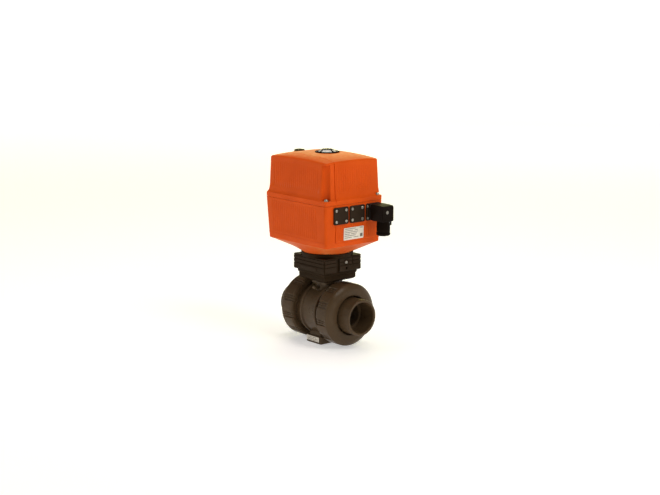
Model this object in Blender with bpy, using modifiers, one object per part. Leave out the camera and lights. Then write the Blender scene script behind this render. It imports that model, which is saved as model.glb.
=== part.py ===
"""Quarter-turn electric valve actuator on an adapter module and a true-union ball valve.

The valve takes 50 mm pipe. Sizes and places below are in millimetres, and the helpers turn
them into metres. Heights and places count from the centre of the ball; the empty
"valve_axis" lifts the whole object until the foot of its base stands at z = 0.
+X runs along the pipe towards the electrical connectors, and +Z up along the stem.
"""

import math

import bmesh
import bpy
from mathutils import Vector

MM = 0.001
GAP = 0.3  # clearance left between pieces that touch

# Valve
PIPE_HEIGHT = 54.0  # pipe axis above the foot of the base
BALL_R = 30.0
BORE_R = 20.0
PORT_R = 20.5  # straight bore of the seats, carrier and union ends
SEAT_R = 27.0
SEAT_BACK = 24.0
BODY_END = 45.0
BARREL_R = 40.0
THREAD_R = 41.4
SHOULDER_R = 44.0
CAVITY_R = 31.5
CARRIER_R = 32.7
STEM_R = 9.0
STEM_SQUARE = 11.0
NECK_TOP = 49.7
SOCKET_R = 25.0  # takes 50 mm pipe
SOCKET_DEPTH = 31.0
UNION_END = 87.5
TAIL_R = 30.0
COLLAR_R = 38.0
COLLAR_BACK = 51.0
NUT_R = 52.1
NUT_BACK = 30.5
NUT_FRONT = 64.0
NUT_THREAD_R = 42.0
NUT_MOUTH_R = 32.6
BASE_HALF_X = 18.8
BASE_HALF_Y = 30.0
BASE_TOP = -41.0
INSERT_SPACING = 45.0

# Adapter module
MODULE_FOOT = 50.0
MODULE_LOW = 52.6  # clear of the union nuts
MODULE_STEP = 69.0
MODULE_TOP = 91.0
LID_TOP = 94.0
COLLAR_TOP = 99.5
MODULE_HALF_LOW = 33.8
MODULE_HALF_HIGH = 40.0
MODULE_WALL = 4.0
LID_COLLAR_R = 43.0
COUPLING_R = 12.0
DRIVE_SQUARE = 14.0

# Actuator casing; its middle lies beside the stem axis
CASE_X = -4.4
CASE_Y = -3.9
FOOT_R = 41.8
FOOT_Z = 99.8
BELLY_Z = 118.5
BELLY = (147.0, 115.4)
PARTING_Z = 187.2
RIM = (153.4, 122.0)
CASE_CORNER = 4.0
FLANGE_TOP = 195.0
WALL_FOOT_Z = 201.0
WALL_FOOT = (147.2, 114.2)
WALL_TOP_Z = 251.5
WALL_TOP = (143.4, 110.6)
CROWN_Z = 253.5
CROWN_RISE = 9.5
CROWN_HALF = (80.0, 62.0)
CROWN_POWER = (3.0, 3.5)
CASE_WALL = 4.0
COVER_WALL = 3.0
OVERRIDE_SEAT = 259.8
CORNER_SCREWS = ((66.0, -58.0), (66.0, 50.2))  # at the +X corners
NOTCH_TOPS = (251.5, 206.0)  # a notch up to the roof in front, a low pocket behind
SIDE_SCREWS = ((-74.8, -37.9), (-74.8, 30.1))  # stand in channels in the -X wall
NOTCH_R = 7.0
CHANNEL_R = 6.0

# Gear train
OUTPUT_TEETH = 50
WHEEL_TEETH = 45
PINION_TEETH = 12
OUTPUT_MODULE = 1.25
THIRD_MODULE = 1.0
SECOND_MODULE = 0.8
MOTOR_AT = (-57.0, -12.0)
SECOND_BEARING = -60.0  # degrees, seen from the motor shaft
LOWER_PLATE_Z = 120.0
UPPER_PLATE_Z = 160.0
PLATE_THICKNESS = 3.0
SHAFT_R = 10.0

# Connectors on the +X wall
PAD_X = 71.9
PLATE_FACE_X = 74.8
PLATE_Z = (156.2, 184.0)
PLUG_Y = (24.0, 46.8)
GLAND_AT = (98.4, 35.4)
PLUG_END_X = 110.0

BIG, MIDDLE, SMALL, TINY = 32, 20, 14, 8  # sides of round shapes


def clear_scene():
    for obj in list(bpy.data.objects):
        bpy.data.objects.remove(obj, do_unlink=True)


def new_collection(name):
    collection = bpy.data.collections.new(name)
    bpy.context.scene.collection.children.link(collection)
    return collection


clear_scene()
PARTS = new_collection("motorized_valve_actuator")
CUTTERS = new_collection("cutters")
CUTTERS.hide_render = True


def material(name, colour, roughness, metallic=0.0):
    finish = bpy.data.materials.new(name)
    finish.use_nodes = True
    shader = finish.node_tree.nodes["Principled BSDF"]
    shader.inputs["Base Color"].default_value = (*colour, 1.0)
    shader.inputs["Roughness"].default_value = roughness
    shader.inputs["Metallic"].default_value = metallic
    return finish


VALVE_PLASTIC = material("valve_plastic", (0.045, 0.034, 0.028), 0.42)
BLACK_PLASTIC = material("black_plastic", (0.016, 0.013, 0.011), 0.45)
ORANGE_PLASTIC = material("orange_plastic", (0.62, 0.10, 0.012), 0.48)
SEAT_PLASTIC = material("seat_plastic", (0.80, 0.79, 0.75), 0.5)
GEAR_PLASTIC = material("gear_plastic", (0.72, 0.70, 0.62), 0.45)
SEAL_RUBBER = material("seal_rubber", (0.012, 0.012, 0.012), 0.7)
STEEL = material("steel", (0.55, 0.55, 0.56), 0.32, 1.0)
BRASS = material("brass", (0.70, 0.50, 0.22), 0.3, 1.0)
LABEL = material("label", (0.62, 0.58, 0.50), 0.6)
BOARD = material("board", (0.03, 0.16, 0.07), 0.5)
WINDOW = material("window", (0.85, 0.87, 0.88), 0.08)


def pivot(name, at, parent=None):
    """An empty on a joint's axis, which carries the pieces that move about it."""
    empty = bpy.data.objects.new(name, None)
    empty.empty_display_size = 0.02
    PARTS.objects.link(empty)
    place(empty, at, parent)
    return empty


def place(obj, at, parent):
    """Puts an object at a place counted from the ball's centre, under its parent empty."""
    obj["at"] = at
    base = Vector(parent["at"]) if parent else Vector((0.0, 0.0, -PIPE_HEIGHT))
    obj.parent = parent
    obj.location = (Vector(at) - base) * MM


def add(name, mesh, finish, at=(0, 0, 0), parent=None, smooth=True):
    obj = bpy.data.objects.new(name, mesh)
    (PARTS if finish else CUTTERS).objects.link(obj)
    if finish:
        mesh.materials.append(finish)
    else:
        obj.hide_render = True
        obj.display_type = "WIRE"
    if smooth:
        mesh.shade_smooth()
        mesh.set_sharp_from_angle(angle=math.radians(32))
    place(obj, at, parent or VALVE)
    return obj


def modifier(obj, kind, **settings):
    made = obj.modifiers.new(kind.lower(), kind)
    for name, value in settings.items():
        setattr(made, name, value)
    return made


def cut(obj, *cutters):
    for cutter in cutters:
        modifier(obj, "BOOLEAN", operation="DIFFERENCE", object=cutter)


def join(obj, *others):
    for other in others:
        modifier(obj, "BOOLEAN", operation="UNION", object=other)


def mesh_of(name, shape):
    mesh = bpy.data.meshes.new(name)
    shape.to_mesh(mesh)
    shape.free()
    return mesh


def block(name, low, high, finish=None, bevel=0.0, parent=None, turn=None):
    """A box between two corners, with its edges rounded by bevel."""
    low, high = Vector(low), Vector(high)
    shape = bmesh.new()
    bmesh.ops.create_cube(shape, size=1.0)
    bmesh.ops.scale(shape, vec=(high - low) * MM, verts=shape.verts)
    obj = add(name, mesh_of(name, shape), finish, (low + high) / 2, parent, smooth=False)
    if bevel:
        modifier(obj, "BEVEL", width=bevel * MM, segments=2, limit_method="ANGLE")
    if turn:
        obj.rotation_euler = turn
    return obj


def rod(name, at, radius, low, high, finish=None, sides=MIDDLE, parent=None, axis="Z"):
    """A cylinder along an axis through the place at, from low to high along that axis."""
    shape = bmesh.new()
    bmesh.ops.create_cone(
        shape,
        cap_ends=True,
        segments=sides,
        radius1=radius * MM,
        radius2=radius * MM,
        depth=(high - low) * MM,
    )
    at = Vector(at)
    at["XYZ".index(axis)] = (low + high) / 2
    turns = {"X": (0, math.pi / 2, 0), "Z": (0, 0, 0)}
    obj = add(name, mesh_of(name, shape), finish, at, parent)
    obj.rotation_euler = turns[axis]
    return obj


def turned(name, profile, finish=None, sides=MIDDLE, axis="Z", at=(0, 0, 0), parent=None):
    """A (radius, height) profile spun about an axis. One that starts and ends at radius 0 is
    left open there, and any other is a closed ring."""
    area = sum(a[0] * b[1] - b[0] * a[1] for a, b in zip(profile, profile[1:] + profile[:1]))
    points = profile[::-1] if area > 0 else list(profile)
    solid = points[0][0] == 0 and points[-1][0] == 0
    shape = bmesh.new()
    ring = [shape.verts.new((radius * MM, 0.0, height * MM)) for radius, height in points]
    for first, second in zip(ring, ring[1:]):
        shape.edges.new((first, second))
    if not solid:
        shape.edges.new((ring[-1], ring[0]))
    obj = add(name, mesh_of(name, shape), finish, at, parent, smooth=False)
    modifier(
        obj,
        "SCREW",
        steps=sides,
        render_steps=sides,
        use_merge_vertices=True,
        merge_threshold=1e-6,
        use_smooth_shade=True,
    )
    if axis == "X":
        obj.rotation_euler = (0, math.pi / 2, 0)
    return obj


def outline(name, loops, low, high, finish=None, axis="Z", at=(0, 0, 0), parent=None):
    """A flat outline with its holes, made solid from low to high along the axis. Across X the
    outline's own axes run along Y and Z."""
    curve = bpy.data.curves.new(name, "CURVE")
    curve.dimensions = "2D"
    curve.fill_mode = "BOTH"
    curve.extrude = (high - low) / 2 * MM
    for loop in loops:
        spline = curve.splines.new("POLY")
        spline.points.add(len(loop) - 1)
        for point, (across, along) in zip(spline.points, loop):
            point.co = (across * MM, along * MM, 0.0, 1.0)
        spline.use_cyclic_u = True
    guide = bpy.data.objects.new(name + "_guide", curve)
    bpy.context.scene.collection.objects.link(guide)
    graph = bpy.context.evaluated_depsgraph_get()
    mesh = bpy.data.meshes.new_from_object(guide.evaluated_get(graph))
    bpy.data.objects.remove(guide)
    shape = bmesh.new()
    shape.from_mesh(mesh)
    bmesh.ops.remove_doubles(shape, verts=shape.verts, dist=1e-6)
    bmesh.ops.recalc_face_normals(shape, faces=shape.faces)
    shape.to_mesh(mesh)
    shape.free()
    mesh.materials.clear()
    at = Vector(at)
    at["XYZ".index(axis)] = (low + high) / 2
    obj = add(name, mesh, finish, at, parent)
    if axis == "X":
        obj.rotation_euler = (math.pi / 2, 0, math.pi / 2)
    return obj


def circle(radius, sides=SMALL, middle=(0, 0)):
    steps = [2 * math.pi * i / sides for i in range(sides)]
    return [(middle[0] + radius * math.cos(a), middle[1] + radius * math.sin(a)) for a in steps]


def rounded(size, radius, middle=(0, 0), steps=4):
    """Corner arcs of a rectangle, anticlockwise."""
    half_x, half_y = size[0] / 2 - radius, size[1] / 2 - radius
    corners = ((half_x, half_y), (-half_x, half_y), (-half_x, -half_y), (half_x, -half_y))
    points = []
    for quarter, (x, y) in enumerate(corners):
        for i in range(steps + 1):
            a = (quarter + i / steps) * math.pi / 2
            points.append((middle[0] + x + radius * math.cos(a), middle[1] + y + radius * math.sin(a)))
    return points


def hull(name, levels, finish=None):
    """The convex body through flat outlines at given heights."""
    shape = bmesh.new()
    for height, loop in levels:
        for x, y in loop:
            shape.verts.new((x * MM, y * MM, height * MM))
    made = bmesh.ops.convex_hull(shape, input=shape.verts)
    inner = {v for v in made["geom_interior"] if isinstance(v, bmesh.types.BMVert)}
    bmesh.ops.delete(shape, geom=list(inner), context="VERTS")
    bmesh.ops.recalc_face_normals(shape, faces=shape.faces)
    return add(name, mesh_of(name, shape), finish)


def gear_loop(teeth, module, phase):
    """Straight-flanked teeth; the first tooth's middle points along phase."""
    tip_r, root_r = (teeth / 2 + 0.8) * module, (teeth / 2 - 1.1) * module
    points = []
    for tooth in range(teeth):
        for radius, part in ((root_r, -0.25), (tip_r, -0.1), (tip_r, 0.1), (root_r, 0.25)):
            a = phase + (tooth + part) * 2 * math.pi / teeth
            points.append((radius * math.cos(a), radius * math.sin(a)))
    return points


# ---------------------------------------------------------------- ball valve


def valve_body():
    outer = [
        (THREAD_R, -BODY_END),
        (THREAD_R, -NUT_BACK - 1),
        (BARREL_R, -NUT_BACK - 1),
        (BARREL_R, -20),
        (SHOULDER_R, -19),
        (SHOULDER_R, -15),
        (BARREL_R + 1, -14),
    ]
    outer += [(radius, -height) for radius, height in reversed(outer)]
    inner = [
        (CARRIER_R + GAP, BODY_END),
        (CARRIER_R + GAP, 17),
        (CAVITY_R, 17),
        (CAVITY_R, -17),
        (SEAT_R + GAP, -17),
        (SEAT_R + GAP, -SEAT_BACK - GAP),
        (PORT_R, -SEAT_BACK - GAP),
        (PORT_R, -BODY_END),
    ]
    body = turned("valve_body", outer + inner, VALVE_PLASTIC, BIG, "X")
    neck = rod("neck", (0, 0, 0), 19, 34, NECK_TOP - 1, sides=MIDDLE)
    flange = block("neck_flange", (-21, -21, 44), (21, 21, NECK_TOP))
    web = block("base_web", (-15, -25, -46), (15, 25, -34.5))
    foot_low, foot_high = (-BASE_HALF_X, -BASE_HALF_Y, -PIPE_HEIGHT), (BASE_HALF_X, BASE_HALF_Y, BASE_TOP)
    foot = block("base_foot", foot_low, foot_high)
    join(body, neck, flange, web, foot)
    cut(
        body,
        rod("stem_pocket", (0, 0, 0), 12.4, 24, 35, sides=SMALL),
        rod("stem_bore", (0, 0, 0), STEM_R + GAP, 30, 60, sides=SMALL),
        rod("seal_pocket", (0, 0, 0), 12.4, 41, 60, sides=SMALL),
        turned("end_groove", [(23, -46), (27, -46), (27, -42.3), (23, -42.3)], sides=MIDDLE, axis="X"),
    )
    for side in (-1, 1):
        cut(body, rod("insert_hole", (0, side * INSERT_SPACING / 2, 0), 6.3, -56, -42.3, sides=SMALL))


def ball():
    edge = math.sqrt(BALL_R**2 - BORE_R**2)
    start = math.asin(edge / BALL_R)
    steps = 8
    arc = [start * (1 - 2 * i / steps) for i in range(steps + 1)]
    profile = [(BALL_R * math.cos(a), BALL_R * math.sin(a)) for a in arc]
    made = turned("ball", profile, VALVE_PLASTIC, BIG, "X", parent=OUTPUT_TRAIN)
    cut(made, block("ball_slot", (-4, -16, 24), (4, 16, 34), parent=OUTPUT_TRAIN))


def seats():
    clear = (BALL_R + GAP) * math.sqrt(2)
    profile = [
        (PORT_R, SEAT_BACK),
        (SEAT_R, SEAT_BACK),
        (SEAT_R, 17.5),
        (clear - 17.5, 17.5),
        (PORT_R, clear - PORT_R),
    ]
    for name, side in (("seat_left", -1), ("seat_right", 1)):
        turned(name, [(r, side * x) for r, x in profile], SEAT_PLASTIC, MIDDLE, "X")


def seal_carrier():
    profile = [
        (PORT_R, BODY_END),
        (23, BODY_END),
        (23, 42.3),
        (27, 42.3),
        (27, BODY_END),
        (CARRIER_R, BODY_END),
        (CARRIER_R, 17.5),
        (SEAT_R + GAP, 17.5),
        (SEAT_R + GAP, SEAT_BACK + GAP),
        (PORT_R, SEAT_BACK + GAP),
    ]
    turned("seal_carrier", profile, VALVE_PLASTIC, BIG, "X")


def face_seals():
    profile = [(23.3, 42.6), (26.7, 42.6), (26.7, 45.0), (23.3, 45.0)]
    for name, side in (("face_seal_left", -1), ("face_seal_right", 1)):
        turned(name, [(r, side * x) for r, x in profile], SEAL_RUBBER, MIDDLE, "X")


def union_end(name, side, parent):
    face = BODY_END + GAP
    profile = [
        (PORT_R, face),
        (COLLAR_R, face),
        (COLLAR_R, COLLAR_BACK),
        (TAIL_R + 1, COLLAR_BACK),
        (TAIL_R, COLLAR_BACK + 3),
        (TAIL_R, UNION_END - 1),
        (TAIL_R - 1, UNION_END),
        (SOCKET_R + 0.8, UNION_END),
        (SOCKET_R, UNION_END - 2),
        (SOCKET_R, UNION_END - SOCKET_DEPTH),
        (PORT_R, UNION_END - SOCKET_DEPTH),
    ]
    turned(name, [(r, side * x) for r, x in profile], VALVE_PLASTIC, BIG, "X", parent=parent)


def union_nut(name, side, parent):
    profile = [
        (NUT_THREAD_R, NUT_BACK),
        (NUT_R - 2.5, NUT_BACK),
        (NUT_R, NUT_BACK + 2.5),
        (NUT_R, 56),
        (NUT_R - 1.2, 57.5),
        (NUT_R - 4, 60.5),
        (NUT_R - 9, 63),
        (NUT_MOUTH_R + 2, NUT_FRONT),
        (NUT_MOUTH_R, NUT_FRONT - 1),
        (NUT_MOUTH_R, COLLAR_BACK + GAP),
        (NUT_THREAD_R, COLLAR_BACK + GAP),
    ]
    turned(name, [(r, side * x) for r, x in profile], VALVE_PLASTIC, BIG, "X", parent=parent)


def stem():
    profile = [
        (0, 26),
        (STEM_R, 26),
        (STEM_R, 31.8),
        (12, 31.8),
        (12, 34.6),
        (STEM_R, 34.6),
        (STEM_R, 55.5),
        (0, 55.5),
    ]
    made = turned("stem", profile, VALVE_PLASTIC, SMALL, parent=OUTPUT_TRAIN)
    half = STEM_SQUARE / 2
    join(made, block("stem_drive", (-half, -half, 52), (half, half, 80), parent=OUTPUT_TRAIN))
    # Below the flange only the tang that fits the ball's slot is left.
    for side in (-1, 1):
        near, far = side * (4 - GAP), side * 14
        low, high = min(near, far), max(near, far)
        cut(made, block("tang_side", (low, -14, 22), (high, 14, 31.8), parent=OUTPUT_TRAIN))
    inner = STEM_R + GAP
    turned("stem_seal", [(inner, 41.3), (11.8, 41.3), (11.8, 47), (inner, 47)], SEAL_RUBBER, SMALL)


def base_fittings():
    for name, side in (("base_insert_front", -1), ("base_insert_back", 1)):
        turned(
            name,
            [(3.4, -53.7), (6, -53.7), (6, -42.7), (3.4, -42.7)],
            BRASS,
            SMALL,
            at=(0, side * INSERT_SPACING / 2, 0),
        )
    face = -BASE_HALF_Y - GAP
    block("base_label", (-17.5, face - 0.8, -52), (17.5, face, -41.6), LABEL)


# ---------------------------------------------------------------- adapter module


def module():
    low, high, wall = MODULE_HALF_LOW, MODULE_HALF_HIGH, MODULE_WALL
    hollow = high - wall
    box = block("module_housing", (-low, -low, MODULE_LOW), (low, low, MODULE_STEP + 2), BLACK_PLASTIC)
    join(
        box,
        block("module_foot", (-21, -21, MODULE_FOOT), (21, 21, MODULE_LOW + 1)),
        block("module_upper", (-high, -high, MODULE_STEP), (high, high, MODULE_TOP)),
    )
    cut(
        box,
        block("module_well", (wall - low, wall - low, MODULE_LOW + wall), (low - wall, low - wall, 95)),
        block("module_hollow", (-hollow, -hollow, MODULE_STEP + wall), (hollow, hollow, 95)),
        rod("module_hole", (0, 0, 0), 12.6, 45, 60, sides=SMALL),
        rod("module_screw_hole", (0, 7.2, 84.3), 1.9, 30, 45, sides=TINY, axis="X"),
        block("module_slot", (high - 1.5, -14.3, 72), (high + 5, -6.9, 95)),
    )
    lid = block("module_lid", (-high, -high, MODULE_TOP + GAP), (high, high, LID_TOP), BLACK_PLASTIC)
    join(lid, rod("lid_collar", (0, 0, 0), LID_COLLAR_R, LID_TOP - 0.5, COLLAR_TOP, sides=BIG))
    cut(lid, rod("lid_hole", (0, 0, 0), 17, 85, 105, sides=MIDDLE))
    seat = high + GAP
    turned(
        "module_screw",
        [(0, 33), (1.6, 33), (1.6, seat), (2.8, seat), (2.8, seat + 0.9), (2.2, seat + 1.5), (0, seat + 1.5)],
        STEEL,
        TINY,
        "X",
        at=(0, 7.2, 84.3),
    )


def coupling():
    made = turned(
        "coupling_shaft",
        [(0, 56), (COUPLING_R, 56), (COUPLING_R, 92), (0, 92)],
        STEEL,
        SMALL,
        parent=OUTPUT_TRAIN,
    )
    top = DRIVE_SQUARE / 2
    join(made, block("coupling_drive", (-top, -top, 90), (top, top, 110), parent=OUTPUT_TRAIN))
    socket = STEM_SQUARE / 2 + GAP
    cut(made, block("coupling_socket", (-socket, -socket, 50), (socket, socket, 80.4), parent=OUTPUT_TRAIN))


# ---------------------------------------------------------------- actuator casing


def case_loop(size, inset=0.0):
    """The casing's outline at one level, or the same outline moved inwards."""
    inner = (size[0] - 2 * inset, size[1] - 2 * inset)
    return rounded(inner, CASE_CORNER - inset * 0.6, (CASE_X, CASE_Y))


def screw_posts(cavity, low, high, reach):
    """Leaves solid posts beside a casing's walls, to take the cover screws."""
    for x, y in CORNER_SCREWS:
        near_y = y - math.copysign(reach, y - CASE_Y)
        ys = sorted((near_y, near_y + math.copysign(30, y - CASE_Y)))
        cut(cavity, block("corner_post", (x - reach, ys[0], low), (x + 30, ys[1], high)))
    for x, y in SIDE_SCREWS:
        cut(cavity, block("side_post", (x - 30, y - reach, low), (x + reach, y + reach, high)))


def lower_housing():
    rim_z = PARTING_Z - GAP / 2
    case = hull(
        "lower_housing",
        [
            (FOOT_Z, circle(FOOT_R, BIG)),
            (BELLY_Z, case_loop(BELLY)),
            (rim_z, case_loop(RIM)),
        ],
        ORANGE_PLASTIC,
    )
    cavity = hull(
        "lower_cavity",
        [
            (FOOT_Z + CASE_WALL, circle(FOOT_R - CASE_WALL, MIDDLE)),
            (BELLY_Z + CASE_WALL * 0.5, case_loop(BELLY, CASE_WALL)),
            (PARTING_Z + 2, case_loop(RIM, CASE_WALL)),
        ],
    )
    screw_posts(cavity, 168, 195, 5.5)
    pad = block("connector_pad", (55, -49.5, 154.5), (PAD_X, 51.5, 185.4))
    join(case, pad)
    cut(case, cavity)
    join(case, rod("floor_boss", (0, 0, 0), 23, FOOT_Z + 2, 110, sides=MIDDLE))
    for angle in (45, 135, 225, 315):
        x, y = 31 * math.cos(math.radians(angle)), 31 * math.sin(math.radians(angle))
        join(case, rod("plate_boss", (x, y, 0), 4.5, FOOT_Z + 2, LOWER_PLATE_Z - GAP, sides=TINY))
    cut(case, rod("bush_hole", (0, 0, 0), 19.3, 95, 115, sides=MIDDLE))
    for middle_y in (-33.1, 1.0, 35.0):
        cut(case, block("cable_window", (60, middle_y - 8, 161), (80, middle_y + 8, 179)))
    for x, y in CORNER_SCREWS + SIDE_SCREWS:
        cut(case, rod("screw_hole", (x, y, 0), 2.1, 172, 195, sides=TINY))
    groove = [case_loop(RIM, 1.1), case_loop(RIM, 2.7)]
    cut(case, outline("seal_groove", groove, rim_z - 1.5, rim_z + 2))
    seal = [case_loop(RIM, 1.4), case_loop(RIM, 2.4)]
    outline("housing_seal", seal, rim_z - 1.2, rim_z, SEAL_RUBBER)


def crown(scale, drop):
    """Heights of the cover's domed top over a grid of points."""
    levels = []
    for i in range(-3, 4):
        for j in range(-2, 3):
            x, y = i / 3 * scale * WALL_TOP[0] / 2, j / 2 * scale * WALL_TOP[1] / 2
            falls = [abs(at / half) ** power for at, half, power in zip((x, y), CROWN_HALF, CROWN_POWER)]
            rise = CROWN_RISE * (1 - falls[0]) * (1 - falls[1])
            levels.append((CROWN_Z + rise - drop, [(CASE_X + x, CASE_Y + y)]))
    return levels


def upper_cover():
    foot_z = PARTING_Z + GAP / 2
    walls = [(foot_z + 1, case_loop(WALL_FOOT)), (WALL_TOP_Z, case_loop(WALL_TOP))]
    cover = hull("upper_cover", walls + crown(0.99, 2.6) + crown(0.94, 0), ORANGE_PLASTIC)
    flange = hull(
        "cover_flange",
        [(foot_z, case_loop(RIM)), (FLANGE_TOP, case_loop(RIM)), (WALL_FOOT_Z, case_loop(WALL_FOOT, 0.5))],
    )
    boss = rod("override_boss", (*MOTOR_AT, 0), 9.8, 245, OVERRIDE_SEAT)
    join(cover, flange, boss)
    inner_foot, inner_top = case_loop(WALL_FOOT, COVER_WALL), case_loop(WALL_TOP, COVER_WALL)
    cavity = hull(
        "cover_cavity",
        [(foot_z - 2, inner_foot), (WALL_TOP_Z - 3, inner_top)] + crown(0.88, COVER_WALL),
    )
    screw_posts(cavity, 180, 260, 9.5)
    cut(cover, cavity)
    for (x, y), notch_top in zip(CORNER_SCREWS, NOTCH_TOPS):
        notch_y = y - math.copysign(0.4, y - CASE_Y)
        cut(cover, rod("screw_notch", (x - 0.6, notch_y, 0), NOTCH_R, FLANGE_TOP, notch_top))
    channel_top = WALL_TOP_Z - 6
    for x, y in SIDE_SCREWS:
        mouth_low, mouth_high = (x - 10, y - CHANNEL_R, FLANGE_TOP), (x, y + CHANNEL_R, channel_top)
        cut(cover, rod("screw_channel", (x, y, 0), CHANNEL_R, FLANGE_TOP, channel_top, sides=SMALL))
        cut(cover, block("channel_mouth", mouth_low, mouth_high))
    for x, y in CORNER_SCREWS + SIDE_SCREWS:
        cut(cover, rod("screw_hole", (x, y, 0), 2.3, 180, 200, sides=TINY))
    cut(
        cover,
        rod("indicator_hole", (0, 0, 0), 18.3, 240, 275, sides=MIDDLE),
        rod("override_spot_face", (*MOTOR_AT, 0), 9.2, OVERRIDE_SEAT, 275, sides=SMALL),
        rod("override_hole", (*MOTOR_AT, 0), 6.3, 240, 275, sides=SMALL),
    )


def cover_screws():
    head = FLANGE_TOP + GAP
    dome = [(3.4, head), (3.4, head + 1.6), (2.4, head + 2.9), (0, head + 3.3)]
    profile = [(0, 174), (1.8, 174), (1.8, head)] + dome
    for number, (x, y) in enumerate(CORNER_SCREWS + SIDE_SCREWS, 1):
        turned(f"cover_screw_{number}", profile, STEEL, TINY, at=(x, y, 0))


# ---------------------------------------------------------------- gear train


def second_place():
    """Where the second shaft lies: its wheel in mesh with the motor's pinion."""
    reach = (WHEEL_TEETH + PINION_TEETH) * SECOND_MODULE / 2
    angle = math.radians(SECOND_BEARING)
    return (MOTOR_AT[0] + reach * math.cos(angle), MOTOR_AT[1] + reach * math.sin(angle))


def third_place():
    """Where the third shaft lies: in mesh with both the output gear and the second pinion."""
    to_output = (OUTPUT_TEETH + PINION_TEETH) * OUTPUT_MODULE / 2
    to_second = (WHEEL_TEETH + PINION_TEETH) * THIRD_MODULE / 2
    second = Vector(SECOND_AT)
    along = (to_output**2 - to_second**2 + second.length**2) / (2 * second.length)
    aside = math.sqrt(to_output**2 - along**2)
    unit = second.normalized()
    return tuple(unit * along + Vector((unit.y, -unit.x)) * aside)


def bearing(start, end):
    return math.atan2(end[1] - start[1], end[0] - start[0])


def mesh_phase(start, end, teeth):
    """Turns the second gear of a pair so that a gap faces the first gear's tooth."""
    return bearing(end, start) + math.pi / teeth


def gears(third_at):
    centre = (0, 0)
    to_third = bearing(centre, third_at)
    bore = circle(SHAFT_R + GAP, SMALL)
    teeth = gear_loop(OUTPUT_TEETH, OUTPUT_MODULE, to_third)
    outline("output_gear", [teeth, bore], 128, 138, GEAR_PLASTIC, parent=OUTPUT_TRAIN)

    pinion_phase = mesh_phase(centre, third_at, PINION_TEETH)
    third = outline(
        "gear_third",
        [gear_loop(WHEEL_TEETH, THIRD_MODULE, bearing(third_at, SECOND_AT))],
        142,
        148,
        GEAR_PLASTIC,
        at=(*third_at, 0),
        parent=THIRD_SHAFT,
    )
    third_pinion = gear_loop(PINION_TEETH, OUTPUT_MODULE, pinion_phase)
    join(third, outline("third_pinion", [third_pinion], 126, 144, at=(*third_at, 0), parent=THIRD_SHAFT))
    cut(third, rod("third_bore", (*third_at, 0), 3.3, 120, 160, sides=TINY, parent=THIRD_SHAFT))

    second = outline(
        "gear_second",
        [gear_loop(WHEEL_TEETH, SECOND_MODULE, bearing(SECOND_AT, MOTOR_AT))],
        152,
        157,
        GEAR_PLASTIC,
        at=(*SECOND_AT, 0),
        parent=SECOND_SHAFT,
    )
    second_pinion = gear_loop(PINION_TEETH, THIRD_MODULE, mesh_phase(third_at, SECOND_AT, PINION_TEETH))
    join(second, outline("second_pinion", [second_pinion], 141, 154, at=(*SECOND_AT, 0), parent=SECOND_SHAFT))
    cut(second, rod("second_bore", (*SECOND_AT, 0), 2.8, 120, 160, sides=TINY, parent=SECOND_SHAFT))

    motor_pinion = gear_loop(PINION_TEETH, SECOND_MODULE, mesh_phase(SECOND_AT, MOTOR_AT, PINION_TEETH))
    motor_shaft = outline(
        "motor_shaft", [motor_pinion], 151.2, 158.6, STEEL, at=(*MOTOR_AT, 0), parent=MOTOR_SHAFT
    )
    join(motor_shaft, rod("motor_rod", (*MOTOR_AT, 0), 2, 155, 212, sides=TINY, parent=MOTOR_SHAFT))


def gear_frame(third_at):
    """Two plates, the pillars between them and the fixed axles of the middle gears."""
    top = LOWER_PLATE_Z + PLATE_THICKNESS
    edge = rounded((120, 88), 8, (-10, -6))
    holes = [circle(SHAFT_R + 0.4, SMALL)]
    holes += [circle(2.8, TINY, SECOND_AT), circle(3.3, TINY, third_at)]
    lower = outline("gear_plate_lower", [edge, *holes], LOWER_PLATE_Z, top, STEEL)
    for x, y in ((-66, -46), (-64, 32), (44, -44), (44, 32)):
        join(lower, rod("pillar", (x, y, 0), 3.2, top - 1, UPPER_PLATE_Z - GAP, sides=TINY))
    holes.append(circle(6.2, TINY, MOTOR_AT))
    outline("gear_plate_upper", [edge, *holes], UPPER_PLATE_Z, UPPER_PLATE_Z + PLATE_THICKNESS, STEEL)
    rod("gear_axle_2", (*SECOND_AT, 0), 2.5, 118.5, 164.5, STEEL, TINY)
    rod("gear_axle_3", (*third_at, 0), 3.0, 118.5, 164.5, STEEL, TINY)


def motor():
    low, high = UPPER_PLATE_Z + PLATE_THICKNESS + GAP, 205
    profile = [(2.6, low), (14, low), (14, high - 1.5), (12.5, high), (2.6, high)]
    turned("motor", profile, STEEL, MIDDLE, at=(*MOTOR_AT, 0))


def output_shaft():
    made = turned(
        "output_shaft",
        [(0, 94.6), (16, 94.6), (16, 119.5), (SHAFT_R, 119.5)]
        + [(SHAFT_R, 250), (6, 250), (6, 264.7), (0, 264.7)],
        STEEL,
        MIDDLE,
        parent=OUTPUT_TRAIN,
    )
    half = DRIVE_SQUARE / 2 + GAP
    cut(made, block("drive_socket", (-half, -half, 90), (half, half, 110.4), parent=OUTPUT_TRAIN))
    turned("output_bush", [(16.3, 100), (19, 100), (19, 109.7), (16.3, 109.7)], BRASS, MIDDLE)


def cam_loop(lobe_at):
    """A disc with one raised lobe centred on an angle in degrees."""
    points = []
    for step in range(36):
        angle = step * 10
        away = abs((angle - lobe_at + 180) % 360 - 180)
        radius = 21.3 if away <= 10 else 17.0
        points.append((radius * math.cos(math.radians(angle)), radius * math.sin(math.radians(angle))))
    return points


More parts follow.
